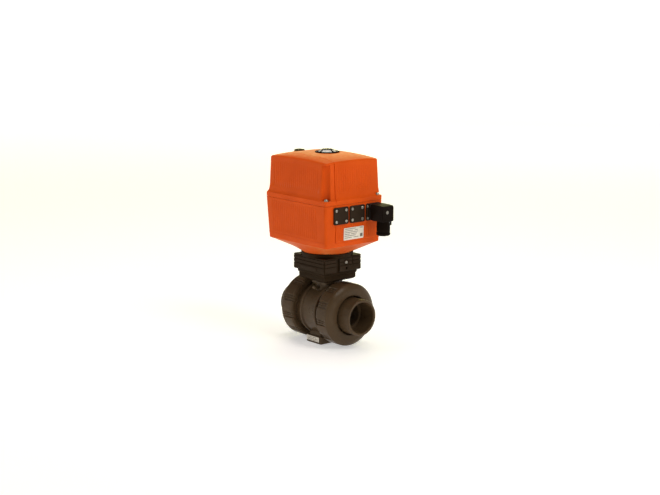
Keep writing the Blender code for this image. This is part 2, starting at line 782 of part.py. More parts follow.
def switching():
    bore = circle(SHAFT_R + GAP, SMALL)
    outline("cam_open", [cam_loop(0), bore], 176, 181, GEAR_PLASTIC, parent=OUTPUT_TRAIN)
    outline("cam_closed", [cam_loop(90), bore], 168, 173, GEAR_PLASTIC, parent=OUTPUT_TRAIN)
    for name, low in (("switch_closed", 167.3), ("switch_open", 175.3)):
        body = block(name, (25, -10, low), (35, 10, low + 6.4), BLACK_PLASTIC)
        join(body, rod("switch_button", (0, 0, low + 3.2), 1.3, 22.2, 26, sides=TINY, axis="X"))
    plate = UPPER_PLATE_Z + PLATE_THICKNESS + GAP
    bracket = block("switch_bracket", (35.3, -13, plate), (37.3, 13, 186), STEEL)
    join(bracket, block("bracket_foot", (36, -13, plate), (47, 13, plate + 2)))


# ---------------------------------------------------------------- electronics and top


def electronics():
    plate = UPPER_PLATE_Z + PLATE_THICKNESS + GAP
    middle = (4, -4)
    rims = [rounded((104, 80), 5, middle), rounded((90, 66), 4, middle)]
    frame = outline("board_frame", rims, 210.7, 213.7, BLACK_PLASTIC)
    for x, y in ((-44.5, -40.5), (45, -40.5), (-44.5, 32.5), (45, 32.5)):
        join(frame, rod("board_leg", (x, y, 0), 2.6, plate, 212, sides=TINY))
    outline("circuit_board", [rounded((104, 80), 3, middle), circle(13, SMALL)], 214, 215.6, BOARD)
    terminal = block("terminal_block", (40, -32, 215.9), (52, 28, 227), GEAR_PLASTIC)
    for index in range(6):
        y = -27 + index * 10
        cut(terminal, block("wire_entry", (47, y - 2.5, 218), (60, y + 2.5, 223)))
    block("transformer", (-22, -38, 215.9), (12, -16, 236), BLACK_PLASTIC)


def override():
    turned(
        "override_shaft",
        [(0, 213), (2.3, 213), (2.3, 206), (4.5, 206), (4.5, 249), (0, 249)],
        STEEL,
        SMALL,
        at=(*MOTOR_AT, 0),
        parent=MOTOR_SHAFT,
    )
    seat = OVERRIDE_SEAT + GAP
    turned(
        "override_plug",
        [(0, 250), (6, 250), (6, seat), (8.8, seat), (8.8, seat + 2.3), (8, seat + 3.1), (0, seat + 3.3)],
        BLACK_PLASTIC,
        SMALL,
        at=(*MOTOR_AT, 0),
        parent=OVERRIDE_PLUG,
    )


def indicator():
    turned(
        "indicator_ring",
        [(15.6, 265), (20.2, 265), (20.2, 263.3), (18, 263.3), (18, 257.5), (16.4, 257.5), (15.6, 263)],
        BLACK_PLASTIC,
        MIDDLE,
    )
    disc = [(0, 265), (6.3, 265), (6.3, 260), (15.2, 260), (15.2, 265.3), (8, 267.6), (0, 267.9)]
    turned("indicator_disc", disc, GEAR_PLASTIC, MIDDLE, parent=OUTPUT_TRAIN)
    window = [
        (0, 269.5),
        (8, 269.0),
        (14.5, 267.6),
        (18.6, 266.2),
        (19.4, 265.3),
        (15.9, 265.3),
        (14.6, 266.4),
        (8, 268.0),
        (0, 268.3),
    ]
    turned("indicator_window", window, WINDOW, MIDDLE)


# ---------------------------------------------------------------- connectors and labels


def connectors():
    back = PAD_X + GAP
    low, high = PLATE_Z
    for name, left, right in (("blank_plate_1", -48.2, -18.0), ("blank_plate_2", -14.5, 16.5)):
        block(name, (back, left, low), (PLATE_FACE_X, right, high), BLACK_PLASTIC, bevel=0.6)
    base = block("connector_base", (back, 20, low), (75.2, 50, high), BLACK_PLASTIC)
    join(base, block("connector_boss", (74, 26, 159), (77.2, 45, 182.4)))
    for y in (30.5, 40.5):
        join(base, block("blade", (76, y - 0.5, 164), (88, y + 0.5, 170)))
    gasket = [rounded((22.4, 26), 2, (35.4, 170.7), 2), rounded((15.4, 19), 1.5, (35.4, 170.7), 2)]
    outline("connector_gasket", gasket, 77.5, 78.5, SEAL_RUBBER, axis="X", parent=CONNECTOR)


def plug():
    middle = (0, 34.6, 172.5)
    low, high = (78.8, PLUG_Y[0], 157.4), (PLUG_END_X, PLUG_Y[1], 184)
    body = block("connector_plug", low, high, BLACK_PLASTIC, parent=CONNECTOR)
    join(body, rod("plug_neck", (*GLAND_AT, 0), 11, 139.3, 162, sides=MIDDLE, parent=CONNECTOR))
    cut(
        body,
        block("plug_recess", (70, 28.5, 161.5), (89, 42.5, 176.5), parent=CONNECTOR),
        rod("gland_bore", (*GLAND_AT, 0), 8.4, 130, 151, sides=SMALL, parent=CONNECTOR),
        rod("cable_bore", (*GLAND_AT, 0), 5.3, 130, 163, sides=SMALL, parent=CONNECTOR),
        rod("plug_screw_hole", middle, 1.9, 70, 120, sides=TINY, parent=CONNECTOR, axis="X"),
        rod("plug_screw_recess", middle, 3.6, PLUG_END_X - 3, 120, sides=TINY, parent=CONNECTOR, axis="X"),
    )
    turned(
        "connector_screw",
        [(0, 79.5), (1.5, 79.5), (1.5, 107.3), (3.2, 107.3), (3.2, 109.2), (2.6, 109.7), (0, 109.8)],
        STEEL,
        TINY,
        "X",
        at=(0, middle[1], middle[2]),
        parent=CONNECTOR,
    )
    turned(
        "gland_nut",
        [(5.2, 134), (10.3, 134), (11.3, 135), (11.3, 139), (8, 139), (8, 150.6), (5.2, 150.6)],
        BLACK_PLASTIC,
        SMALL,
        at=(*GLAND_AT, 0),
        parent=CONNECTOR,
    )


def rating_label():
    """A plate that lies flat on the casing's leaning +X wall."""
    lean = math.atan2((RIM[0] - BELLY[0]) / 2, PARTING_Z - BELLY_Z)
    z = 138.75
    wall = CASE_X + BELLY[0] / 2 + (z - BELLY_Z) * math.tan(lean)
    x = wall + (GAP + 0.4) / math.cos(lean)
    block("rating_label", (x - 0.4, -25.5, z - 10.05), (x + 0.4, 16.5, z + 10.05), LABEL, turn=(0, lean, 0))


VALVE = pivot("valve_axis", (0, 0, 0))
OUTPUT_TRAIN = pivot("output_train", (0, 0, 0), VALVE)
SECOND_AT = second_place()
THIRD_AT = third_place()
THIRD_SHAFT = pivot("third_shaft", (*THIRD_AT, 130), VALVE)
SECOND_SHAFT = pivot("second_shaft", (*SECOND_AT, 150), VALVE)
MOTOR_SHAFT = pivot("motor_axis", (*MOTOR_AT, 155), VALVE)
OVERRIDE_PLUG = pivot("override_axis", (*MOTOR_AT, 260), VALVE)
CONNECTOR = pivot("connector_axis", (77.5, 35.4, 170.7), VALVE)
UNION_LEFT = pivot("union_left", (-BODY_END, 0, 0), VALVE)
UNION_RIGHT = pivot("union_right", (BODY_END, 0, 0), VALVE)

valve_body()
ball()
seats()
seal_carrier()
face_seals()
union_end("union_end_left", -1, UNION_LEFT)
union_end("union_end_right", 1, UNION_RIGHT)
union_nut("union_nut_left", -1, UNION_LEFT)
union_nut("union_nut_right", 1, UNION_RIGHT)
stem()
base_fittings()
module()
coupling()
lower_housing()
upper_cover()
cover_screws()
gears(THIRD_AT)
gear_frame(THIRD_AT)
motor()
output_shaft()
switching()
electronics()
override()
indicator()
connectors()
plug()
rating_label()
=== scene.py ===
"""Looks of a quarter-turn electric actuator on an adapter module and a true-union ball valve.

Every place below is in millimetres from the centre of the ball, as in the CAD part, and the
mesh helpers turn it into metres in the row's frame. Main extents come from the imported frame.
"""

import math

import bmesh
import bpy
from mathutils import Matrix, Vector


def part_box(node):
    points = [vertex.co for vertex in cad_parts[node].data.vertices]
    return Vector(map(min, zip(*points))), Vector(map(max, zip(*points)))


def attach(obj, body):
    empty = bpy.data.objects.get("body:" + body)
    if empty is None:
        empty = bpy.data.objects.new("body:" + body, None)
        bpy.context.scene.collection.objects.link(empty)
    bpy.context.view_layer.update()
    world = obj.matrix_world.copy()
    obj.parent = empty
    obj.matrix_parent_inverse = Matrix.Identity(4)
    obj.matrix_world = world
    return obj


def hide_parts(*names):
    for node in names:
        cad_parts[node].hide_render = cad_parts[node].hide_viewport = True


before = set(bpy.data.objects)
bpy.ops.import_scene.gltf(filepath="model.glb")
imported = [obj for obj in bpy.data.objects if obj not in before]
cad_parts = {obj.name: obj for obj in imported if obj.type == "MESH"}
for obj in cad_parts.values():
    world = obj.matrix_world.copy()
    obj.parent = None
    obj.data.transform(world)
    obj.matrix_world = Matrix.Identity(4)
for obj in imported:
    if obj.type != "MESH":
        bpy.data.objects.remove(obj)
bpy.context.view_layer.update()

MM = 0.001
CASING = "valve_and_casing"


def centre_of(node):
    low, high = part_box(node)
    return (low + high) / 2


PIPE_Z = centre_of("union_nut_right").z / MM


def span(node):
    """A CAD node's lowest and highest corner, in millimetres from the ball's centre."""
    low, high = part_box(node)
    lift = Vector((0, 0, PIPE_Z))
    return low / MM - lift, high / MM - lift


# ---------------------------------------------------------------- materials


class Nodes:
    """A material's node tree, with short ways to add and link nodes."""

    def __init__(self, name):
        self.material = bpy.data.materials.new(name)
        self.material.use_nodes = True
        self.tree = self.material.node_tree
        self.shader = self.tree.nodes["Principled BSDF"]
        self.place = self.add("ShaderNodeTexCoord").outputs["Object"]

    def add(self, kind, **values):
        node = self.tree.nodes.new(kind)
        for name, value in values.items():
            if hasattr(node, name):
                setattr(node, name, value)
            else:
                node.inputs[name.replace("_", " ")].default_value = value
        return node

    def link(self, start, end):
        self.tree.links.new(start, end)

    def noise(self, scale, detail=2.0, stretch=None):
        node = self.add("ShaderNodeTexNoise", Scale=scale, Detail=detail)
        source = self.place
        if stretch:
            mapping = self.add("ShaderNodeMapping")
            mapping.inputs["Scale"].default_value = stretch
            self.link(source, mapping.inputs["Vector"])
            source = mapping.outputs["Vector"]
        self.link(source, node.inputs["Vector"])
        return node.outputs["Fac"]

    def spread(self, source, low, high, start=0.3, end=0.7):
        node = self.add("ShaderNodeMapRange")
        for name, value in (("From Min", start), ("From Max", end), ("To Min", low), ("To Max", high)):
            node.inputs[name].default_value = value
        self.link(source, node.inputs["Value"])
        return node.outputs["Result"]

    def mix(self, factor, first, second):
        node = self.add("ShaderNodeMix", data_type="RGBA")
        self.link(factor, node.inputs["Factor"])
        colours = [s for s in node.inputs if s.type == "RGBA"]
        for socket, value in zip(colours, (first, second)):
            if isinstance(value, tuple):
                socket.default_value = (*value, 1.0)
            else:
                self.link(value, socket)
        return [s for s in node.outputs if s.type == "RGBA"][0]

    def bump(self, height, strength, distance):
        node = self.add("ShaderNodeBump", Strength=strength, Distance=distance)
        self.link(height, node.inputs["Height"])
        self.link(node.outputs["Normal"], self.shader.inputs["Normal"])

    def edges(self, low=0.51, high=0.6):
        """From 0 on flat ground to 1 on a sharp outer edge."""
        geometry = self.add("ShaderNodeNewGeometry")
        return self.spread(geometry.outputs["Pointiness"], 0.0, 1.0, low, high)


GRAIN_DEPTH = 0.00006  # metres, of the erosion grain on moulded plastic


def moulded(name, colour, lighter, roughness, grain=900.0, edge_highlight=0.35, specular=0.5, sheen=0.0):
    """Moulded plastic: fine erosion grain, uneven gloss, slow colour drift, and sharp outer edges painted
    paler as a painted highlight.
    """
    nodes = Nodes(name)
    drift = nodes.mix(nodes.spread(nodes.noise(28.0, 3.0), 0.0, 1.0), colour, lighter)
    # Painted highlight: sharp outer edges are mixed towards a paler copy of the colour.
    edge_highlight_mask = nodes.add("ShaderNodeMath", operation="MULTIPLY")
    nodes.link(nodes.edges(), edge_highlight_mask.inputs[0])
    edge_highlight_mask.inputs[1].default_value = edge_highlight
    pale = tuple(min(1.0, c * 1.7 + 0.02) for c in colour)
    nodes.link(nodes.mix(edge_highlight_mask.outputs[0], drift, pale), nodes.shader.inputs["Base Color"])
    gloss = nodes.spread(nodes.noise(160.0, 4.0), roughness - 0.06, roughness + 0.08)
    nodes.link(gloss, nodes.shader.inputs["Roughness"])
    nodes.shader.inputs["Specular IOR Level"].default_value = specular
    nodes.shader.inputs["Sheen Weight"].default_value = sheen
    nodes.shader.inputs["Sheen Roughness"].default_value = 0.3
    nodes.shader.inputs["Sheen Tint"].default_value = (1.0, 0.78, 0.3, 1.0)
    nodes.bump(nodes.noise(grain, 3.0), 0.35, GRAIN_DEPTH)
    return nodes.material


def metal(name, colour, roughness, stretch=(1.0, 1.0, 1.0)):
    """Machined metal with fine tool marks and darker patches."""
    nodes = Nodes(name)
    dark = tuple(c * 0.72 for c in colour)
    patches = nodes.spread(nodes.noise(240.0, 4.0), 0.0, 1.0)
    nodes.link(nodes.mix(patches, colour, dark), nodes.shader.inputs["Base Color"])
    nodes.shader.inputs["Metallic"].default_value = 1.0
    marks = nodes.noise(1500.0, 2.0, stretch)
    nodes.link(nodes.spread(marks, roughness - 0.08, roughness + 0.12), nodes.shader.inputs["Roughness"])
    nodes.bump(marks, 0.2, 0.00003)
    return nodes.material


def clear_plastic(name):
    """Thin clear plastic that only shows by its faint smoky tint and its gloss."""
    nodes = Nodes(name)
    drift = nodes.spread(nodes.noise(60.0), 0.0, 1.0)
    tint = nodes.mix(drift, (0.05, 0.05, 0.045), (0.08, 0.08, 0.075))
    nodes.link(tint, nodes.shader.inputs["Base Color"])
    nodes.shader.inputs["Alpha"].default_value = 0.14
    nodes.link(nodes.spread(nodes.noise(300.0, 3.0), 0.06, 0.14), nodes.shader.inputs["Roughness"])
    nodes.bump(nodes.noise(500.0), 0.1, 0.00002)
    return nodes.material


def printed_film(name, colour, stain):
    """Pale label film, slightly soiled."""
    nodes = Nodes(name)
    soil = nodes.spread(nodes.noise(120.0, 5.0), 0.0, 0.6)
    nodes.link(nodes.mix(soil, colour, stain), nodes.shader.inputs["Base Color"])
    nodes.link(nodes.spread(nodes.noise(400.0), 0.38, 0.55), nodes.shader.inputs["Roughness"])
    nodes.bump(nodes.noise(700.0), 0.15, 0.00002)
    return nodes.material


# The edge strength given to each moulded finish below paints its sharp edges paler, as a painted highlight.
ORANGE = moulded(
    "orange_moulded", (0.60, 0.069, 0.003), (0.66, 0.080, 0.004), 0.44, edge_highlight=0.15, specular=0.07, sheen=0.3
)
VALVE = moulded(
    "valve_moulded", (0.060, 0.036, 0.017), (0.074, 0.046, 0.023), 0.32, edge_highlight=0.5, specular=0.14
)
BLACK = moulded(
    "module_moulded", (0.017, 0.009, 0.003), (0.025, 0.014, 0.006), 0.5, edge_highlight=0.5, specular=0.03
)
PLUG = moulded(
    "plug_moulded", (0.005, 0.0025, 0.001), (0.008, 0.004, 0.002), 0.5, edge_highlight=0.5, specular=0.03
)
PLATE = moulded(
    "plate_moulded", (0.018, 0.010, 0.005), (0.030, 0.018, 0.010), 0.5, edge_highlight=0.4, specular=0.04
)
DULL = moulded(
    "indicator_black", (0.006, 0.004, 0.003), (0.010, 0.007, 0.005), 0.7, edge_highlight=0.0, specular=0.0
)
RUBBER = moulded("rubber_seal", (0.012, 0.011, 0.010), (0.020, 0.018, 0.017), 0.72, 1400.0, edge_highlight=0.0)
ACETAL = moulded("natural_acetal", (0.74, 0.72, 0.64), (0.80, 0.78, 0.72), 0.4, edge_highlight=0.0)
FLUOR = moulded("seat_white", (0.82, 0.81, 0.77), (0.88, 0.87, 0.84), 0.35, edge_highlight=0.0)
WHITE = moulded("indicator_white", (0.80, 0.79, 0.74), (0.86, 0.85, 0.81), 0.4, edge_highlight=0.0)
MASK = moulded("solder_mask", (0.02, 0.14, 0.06), (0.03, 0.18, 0.08), 0.35, edge_highlight=0.0)
STEEL = metal("bright_steel", (0.42, 0.39, 0.34), 0.30)
TURNED_STEEL = metal("turned_steel", (0.60, 0.60, 0.61), 0.34, (1.0, 1.0, 14.0))
BRASS = metal("turned_brass", (0.78, 0.56, 0.25), 0.28, (1.0, 1.0, 12.0))
CLEAR = clear_plastic("clear_window")
FILM = printed_film("label_film", (0.74, 0.69, 0.60), (0.60, 0.54, 0.45))
INK = printed_film("label_ink", (0.10, 0.08, 0.06), (0.16, 0.13, 0.10))


# ---------------------------------------------------------------- mesh helpers


def piece(name, mesh, finish, body=CASING, replaces=(), sharp=35):
    """Links a mesh as a piece that rides on a body and may stand for CAD nodes."""
    obj = bpy.data.objects.new(name, mesh)
    bpy.context.scene.collection.objects.link(obj)
    mesh.materials.clear()
    mesh.materials.append(finish)
    mesh.shade_smooth()
    mesh.set_sharp_from_angle(angle=math.radians(sharp))
    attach(obj, body)
    if replaces:
        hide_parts(*replaces)
    return obj


def to_mesh(name, shape):
    """Turns a bmesh in millimetres from the ball's centre into a mesh in the row's frame."""
    bmesh.ops.recalc_face_normals(shape, faces=shape.faces)
    shape.transform(Matrix.Scale(MM, 4) @ Matrix.Translation((0, 0, PIPE_Z)))
    mesh = bpy.data.meshes.new(name)
    shape.to_mesh(mesh)
    shape.free()
    return mesh


def skin(rings):
    """Faces between rings of equal length, with the first and the last ring closed."""
    shape = bmesh.new()
    rows = [[shape.verts.new(point) for point in ring] for ring in rings]
    for lower, upper in zip(rows, rows[1:]):
        for i in range(len(lower)):
            j = (i + 1) % len(lower)
            shape.faces.new((lower[i], lower[j], upper[j], upper[i]))
    shape.faces.new(rows[0])
    shape.faces.new(rows[-1])
    return shape


def fillet(corner, before, after, radius, steps=4):
    """Points of an arc of about this radius that rounds a profile's corner."""
    corner, before, after = Vector(corner), Vector(before), Vector(after)
    reach = min(radius, (before - corner).length * 0.49, (after - corner).length * 0.49)
    start = corner + (before - corner).normalized() * reach
    end = corner + (after - corner).normalized() * reach
    points = []
    for i in range(steps + 1):
        t = i / steps
        points.append(start * (1 - t) ** 2 + corner * (2 * t * (1 - t)) + end * t**2)
    return [tuple(point) for point in points]


def eased(profile, radius, steps=3):
    """A closed profile with every corner rounded. A radius may follow a point as its third value."""
    points = []
    count = len(profile)
    for i, point in enumerate(profile):
        wanted = point[2] if len(point) > 2 else radius
        if wanted <= 0:
            points.append(tuple(point[:2]))
            continue
        points += fillet(point[:2], profile[i - 1][:2], profile[(i + 1) % count][:2], wanted, steps)
    return points


def spin(profile, axis="Z", at=(0, 0, 0), sides=96, shape_radius=None):
    """A closed (radius, height) profile turned about an axis. shape_radius(angle, radius,
    height) may change the radius around the turn. A point at radius 0 becomes one vertex."""
    shape = bmesh.new()
    at = Vector(at)
    turn = Matrix.Rotation(math.pi / 2, 4, "Y") if axis == "X" else Matrix.Identity(4)
    rows = []
    for radius, height in profile:
        if radius < 1e-6:
            rows.append([shape.verts.new(turn @ Vector((0, 0, height)) + at)])
            continue
        row = []
        for i in range(sides):
            a = 2 * math.pi * i / sides
            r = shape_radius(a, radius, height) if shape_radius else radius
            spot = Vector((r * math.cos(a), r * math.sin(a), height))
            row.append(shape.verts.new(turn @ spot + at))
        rows.append(row)
    for first, second in zip(rows, rows[1:] + rows[:1]):
        if len(first) == 1 and len(second) == 1:
            continue
        for i in range(sides):
            j = (i + 1) % sides
            corners = []
            for row, k in ((first, i), (first, j), (second, j), (second, i)):
                vert = row[k] if len(row) > 1 else row[0]
                if vert not in corners:
                    corners.append(vert)
            shape.faces.new(corners)
    return shape


def brick(low, high, bevel=0.8, segments=3):
    """A box with rounded edges."""
    shape = bmesh.new()
    low, high = Vector(low), Vector(high)
    bmesh.ops.create_cube(shape, size=1.0)
    bmesh.ops.scale(shape, vec=high - low, verts=shape.verts)
    bmesh.ops.translate(shape, vec=(low + high) / 2, verts=shape.verts)
    if bevel:
        bmesh.ops.bevel(
            shape,
            geom=list(shape.edges),
            offset=bevel,
            segments=segments,
            profile=0.5,
            affect="EDGES",
            clamp_overlap=True,
        )
    return shape


def extruded(outline, low, high, axis="Z", bevel=0.5, segments=2):
    """A flat outline made solid along an axis, with its rim rounded. Across X the outline's axes
    are Y and Z, and across Y they are X and Z."""
    shape = bmesh.new()
    place = {
        "X": lambda a, b, c: (c, a, b),
        "Y": lambda a, b, c: (a, c, b),
        "Z": lambda a, b, c: (a, b, c),
    }[axis]
    rows = [[shape.verts.new(place(a, b, c)) for a, b in outline] for c in (low, high)]
    count = len(outline)
    for i in range(count):
        j = (i + 1) % count
        shape.faces.new((rows[0][i], rows[0][j], rows[1][j], rows[1][i]))
    rims = [shape.faces.new(rows[0]), shape.faces.new(rows[1])]
    if bevel:
        edges = {edge for rim in rims for edge in rim.edges}
        bmesh.ops.bevel(
            shape, geom=list(edges), offset=bevel, segments=segments, profile=0.5, affect="EDGES"
        )
    return shape


def rounded(size, radius, middle=(0, 0), steps=6):
    """Corner arcs of a rectangle, anticlockwise."""
    half_x, half_y = size[0] / 2 - radius, size[1] / 2 - radius
    points = []
    for quarter, (sx, sy) in enumerate(((1, 1), (-1, 1), (-1, -1), (1, -1))):
        for i in range(steps + 1):
            a = (quarter + i / steps) * math.pi / 2
            x = middle[0] + sx * half_x + radius * math.cos(a)
            points.append((x, middle[1] + sy * half_y + radius * math.sin(a)))
    return points


def tube(radius, low, high, at=(0, 0, 0), axis="Z", ease=0.4, sides=48):
    """A solid cylinder with eased rims."""
    profile = eased([(0, low, 0), (radius, low, ease), (radius, high, ease), (0, high, 0)], 0)
    return spin(profile, axis, at, sides)


def merged(*shapes):
    """Several bmeshes in one, each left a closed body."""
    whole = bmesh.new()
    for shape in shapes:
        mesh = bpy.data.meshes.new("part")
        shape.to_mesh(mesh)
        shape.free()
        whole.from_mesh(mesh)
        bpy.data.meshes.remove(mesh)
    return whole


def carve(obj, operation, shapes, sharp=35):
    """Applies a Boolean with each shape in turn, and leaves one clean mesh."""
    for shape in shapes:
        other = bpy.data.objects.new("tool", to_mesh("tool", shape))
        bpy.context.scene.collection.objects.link(other)
        boolean = obj.modifiers.new("carve", "BOOLEAN")
        boolean.operation = operation
        boolean.solver = "EXACT"
        boolean.object = other
        bpy.context.view_layer.update()
        graph = bpy.context.evaluated_depsgraph_get()
        mesh = bpy.data.meshes.new_from_object(obj.evaluated_get(graph))
        obj.modifiers.clear()
        old = obj.data
        name = old.name
        obj.data = mesh
        bpy.data.meshes.remove(old)
        mesh.name = name
        bpy.data.objects.remove(other)
    obj.data.shade_smooth()
    obj.data.set_sharp_from_angle(angle=math.radians(sharp))
    return obj


# ---------------------------------------------------------------- casing

RIM_LOW, RIM_HIGH = span("lower_housing")
COVER_LOW, COVER_HIGH = span("upper_cover")
CASE_X = (RIM_LOW.x + RIM_HIGH.x) / 2
CASE_Y = (RIM_LOW.y + RIM_HIGH.y) / 2
RIM = (COVER_HIGH.x - COVER_LOW.x, COVER_HIGH.y - COVER_LOW.y)
FOOT_Z = RIM_LOW.z
PARTING_Z = (RIM_HIGH.z + COVER_LOW.z) / 2
BELLY_Z = 118.5
BELLY = (147.0, 115.4)
WALL_FOOT_Z = 199.0
WALL_FOOT = (147.2, 114.2)
WALL_TOP = (143.4, 110.6)
CASE_CORNER = 4.0
FLANGE_TOP = 195.0
CROWN_Z = 253.5
TOP_EDGE = 2.6  # rounding between the cover's walls and top
FOOT_R = 41.6
RIB_GROOVE = 1.5
RIB_DEPTH = 0.4
SEAM_DEPTH = 1.2
SEAM = -38.2  # mould line, from the casing's middle along Y
SEAM_HALF = 0.9
CORNER_SCREW = (70.4, 54.1)  # from the casing's middle, in notches in the +X corners
NOTCH_R = 7.2
NOTCH_BLEND = 3.0  # the notch's rounded edge on the Y sides
NOTCH_FROM = 60.0  # the notch's stretch of the Y sides starts here
NOTCH_TO = 46.8  # and its stretch of the X side ends here
CROWN_RISE = 9.5
CROWN_HALF = (80, 62)  # from the middle to where the crown would reach its corners' level
POCKET_TOP = 199.4  # the far corner has only a low pocket around its screw
SIDE_SCREW = (70.4, 34.0)  # in channels in the -X wall
CHANNEL_R = 6.0


def ribbed(first, last, pitch):
    """Places along a side with the depth of the rib grooves there, from 0 to 1."""
    places = {}
    for k in range(int((last - first) / pitch)):
        start = first + k * pitch
        for offset, depth in ((0, 0.0), (0.25, 1.0), (0.75, 1.0), (1.0, 0.0)):
            places[start + offset * RIB_GROOVE] = depth
    return places


def x_side_places():
    places = ribbed(SEAM + 3, 44, 4.75)
    for offset in (-1.0, -0.55, 0.55, 1.0):
        places[SEAM + offset * SEAM_HALF] = 0.0
    for edge in (NOTCH_TO, -NOTCH_TO):
        places[edge] = 0.0
    return sorted(places.items())


def back_side_places():
    """The -X side: plain, with finer steps at its two screw channels."""
    places = {0.0: 0.0}
    for middle in (-SIDE_SCREW[1], SIDE_SCREW[1]):
        for away in (6.3, 6.0, 5.9, 5.4, 4.5, 3.2, 1.6):
            places[middle - away] = places[middle + away] = 0.0
        places[middle] = 0.0
    return sorted(places.items())


def casing_ring():
    """Every place around the casing, anticlockwise from the -Y side: its kind, where it lies
    along its side or corner, and the depth of the rib groove."""
    y_side = sorted(ribbed(-59, 57, 5.0).items())
    corner = [i / 8 for i in range(9)]
    notch = [i / 30 for i in range(31)]
    ring = [("corner", (-1, -1, t), 0.0) for t in corner]
    ring += [("side_y", (-1, x), depth) for x, depth in y_side]
    ring += [("notch", (-1, t), 0.0) for t in notch]
    ring += [("side_x", (1, y), depth) for y, depth in x_side_places()[1:-1]]
    ring += [("notch", (1, 1 - t), 0.0) for t in notch]
    ring += [("side_y", (1, x), depth) for x, depth in reversed(y_side)]
    ring += [("corner", (-1, 1, 1 - t), 0.0) for t in corner]
    ring += [("side_x", (-1, y), 0.0) for y, _ in reversed(back_side_places())]
    return ring


RING = casing_ring()


def along(points, t):
    """A point at part t of a polyline's length."""
    lengths = [math.dist(a, b) for a, b in zip(points, points[1:])]
    left = t * sum(lengths)
    for a, b, length in zip(points, points[1:], lengths):
        if left <= length:
            return tuple(p + (q - p) * left / length for p, q in zip(a, b))
        left -= length
    return points[-1]


def plain_corner(half_x, half_y, radius):
    """The notch's stretch of the outline where there is no notch: two straights and an arc."""
    arc = [
        (
            half_x - radius + radius * math.sin(k * math.pi / 20),
            half_y - radius + radius * math.cos(k * math.pi / 20),
        )
        for k in range(11)
    ]
    return [(NOTCH_FROM, half_y)] + arc + [(half_x, NOTCH_TO)]


def notched_corner(half_x, half_y):
    """The same stretch around the screw: a rounded edge, then a hollow around the screw."""
    screw_x, screw_y = CORNER_SCREW
    reach = NOTCH_R + NOTCH_BLEND
    rise = half_y - NOTCH_BLEND - screw_y
    blend_x = screw_x - math.sqrt(reach**2 - rise**2)
    turn = math.atan2(rise, blend_x - screw_x) % (2 * math.pi)  # from the screw to the blend
    blend = []
    for k in range(7):
        a = math.pi / 2 + (turn - math.pi - math.pi / 2) * k / 6
        blend.append(
            (blend_x + NOTCH_BLEND * math.cos(a), half_y - NOTCH_BLEND + NOTCH_BLEND * math.sin(a))
        )
    stop = -math.acos((half_x - 0.4 - screw_x) / NOTCH_R)
    hollow = []
    for k in range(25):
        a = turn + (stop + 2 * math.pi - turn) * k / 24
        hollow.append((screw_x + NOTCH_R * math.cos(a), screw_y + NOTCH_R * math.sin(a)))
    lip = hollow[-1][1]
    return [(NOTCH_FROM, half_y)] + blend + hollow + [(half_x, lip - 0.5), (half_x, NOTCH_TO)]


def crown(x, y):
    """How far the cover's domed top rises above its corners."""
    wide, deep = CROWN_HALF
    return CROWN_RISE * (1 - abs(x / wide) ** 3) * (1 - abs(y / deep) ** 3.5)


def case_ring(z, size, rib=0.0, lift=0.0, seam=0.0, notches=(), panel=0.0, radius=CASE_CORNER):
    """One level of the casing's outside. rib, seam and panel say how much of each relief this
    level has, notches names the Y sides with a notch, and lift is the share of the crown."""
    half_x, half_y = size[0] / 2, size[1] / 2
    plain = plain_corner(half_x, half_y, radius)
    hollow = notched_corner(half_x, half_y) if notches else plain
    points = []
    for kind, place, depth in RING:
        if kind == "corner":
            side_x, side_y, t = place
            a = t * math.pi / 2
            x = side_x * (half_x - radius + radius * math.cos(a))
            y = side_y * (half_y - radius + radius * math.sin(a))
        elif kind == "side_y":
            x, y = place[1], place[0] * (half_y - rib * depth * RIB_DEPTH)
        elif kind == "notch":
            x, y = along(hollow if place[0] in notches else plain, place[1])
            y *= place[0]
        else:
            side, y = place
            inward = rib * depth * RIB_DEPTH
            if side > 0:
                if abs(y - SEAM) < SEAM_HALF * 0.8:
                    inward += seam
                if SEAM < y < 44:
                    inward -= panel
            elif notches and abs(abs(y) - SIDE_SCREW[1]) < CHANNEL_R - 0.05:
                away = abs(abs(y) - SIDE_SCREW[1])
                inward += half_x - SIDE_SCREW[0] + math.sqrt(CHANNEL_R**2 - away**2)
            x = side * (half_x - inward)
        points.append((CASE_X + x, CASE_Y + y, z + lift * crown(x, y)))
    return points


def between(a, b, t):
    return tuple(p + (q - p) * t for p, q in zip(a, b))


def grown(size, amount):
    return (size[0] + 2 * amount, size[1] + 2 * amount)


def domed_top(rings, size):
    """Rings that carry the outline inwards over the dome."""
    outline_ring = case_ring(0, size, radius=CASE_CORNER - TOP_EDGE)
    level = []
    for k in range(1, 40):
        t = 1 - k / 40
        ring = []
        for x, y, _ in outline_ring:
            x, y = (x - CASE_X) * t, (y - CASE_Y) * t
            ring.append((CASE_X + x, CASE_Y + y, CROWN_Z + crown(x, y)))
        level.append(ring)
    return rings + level


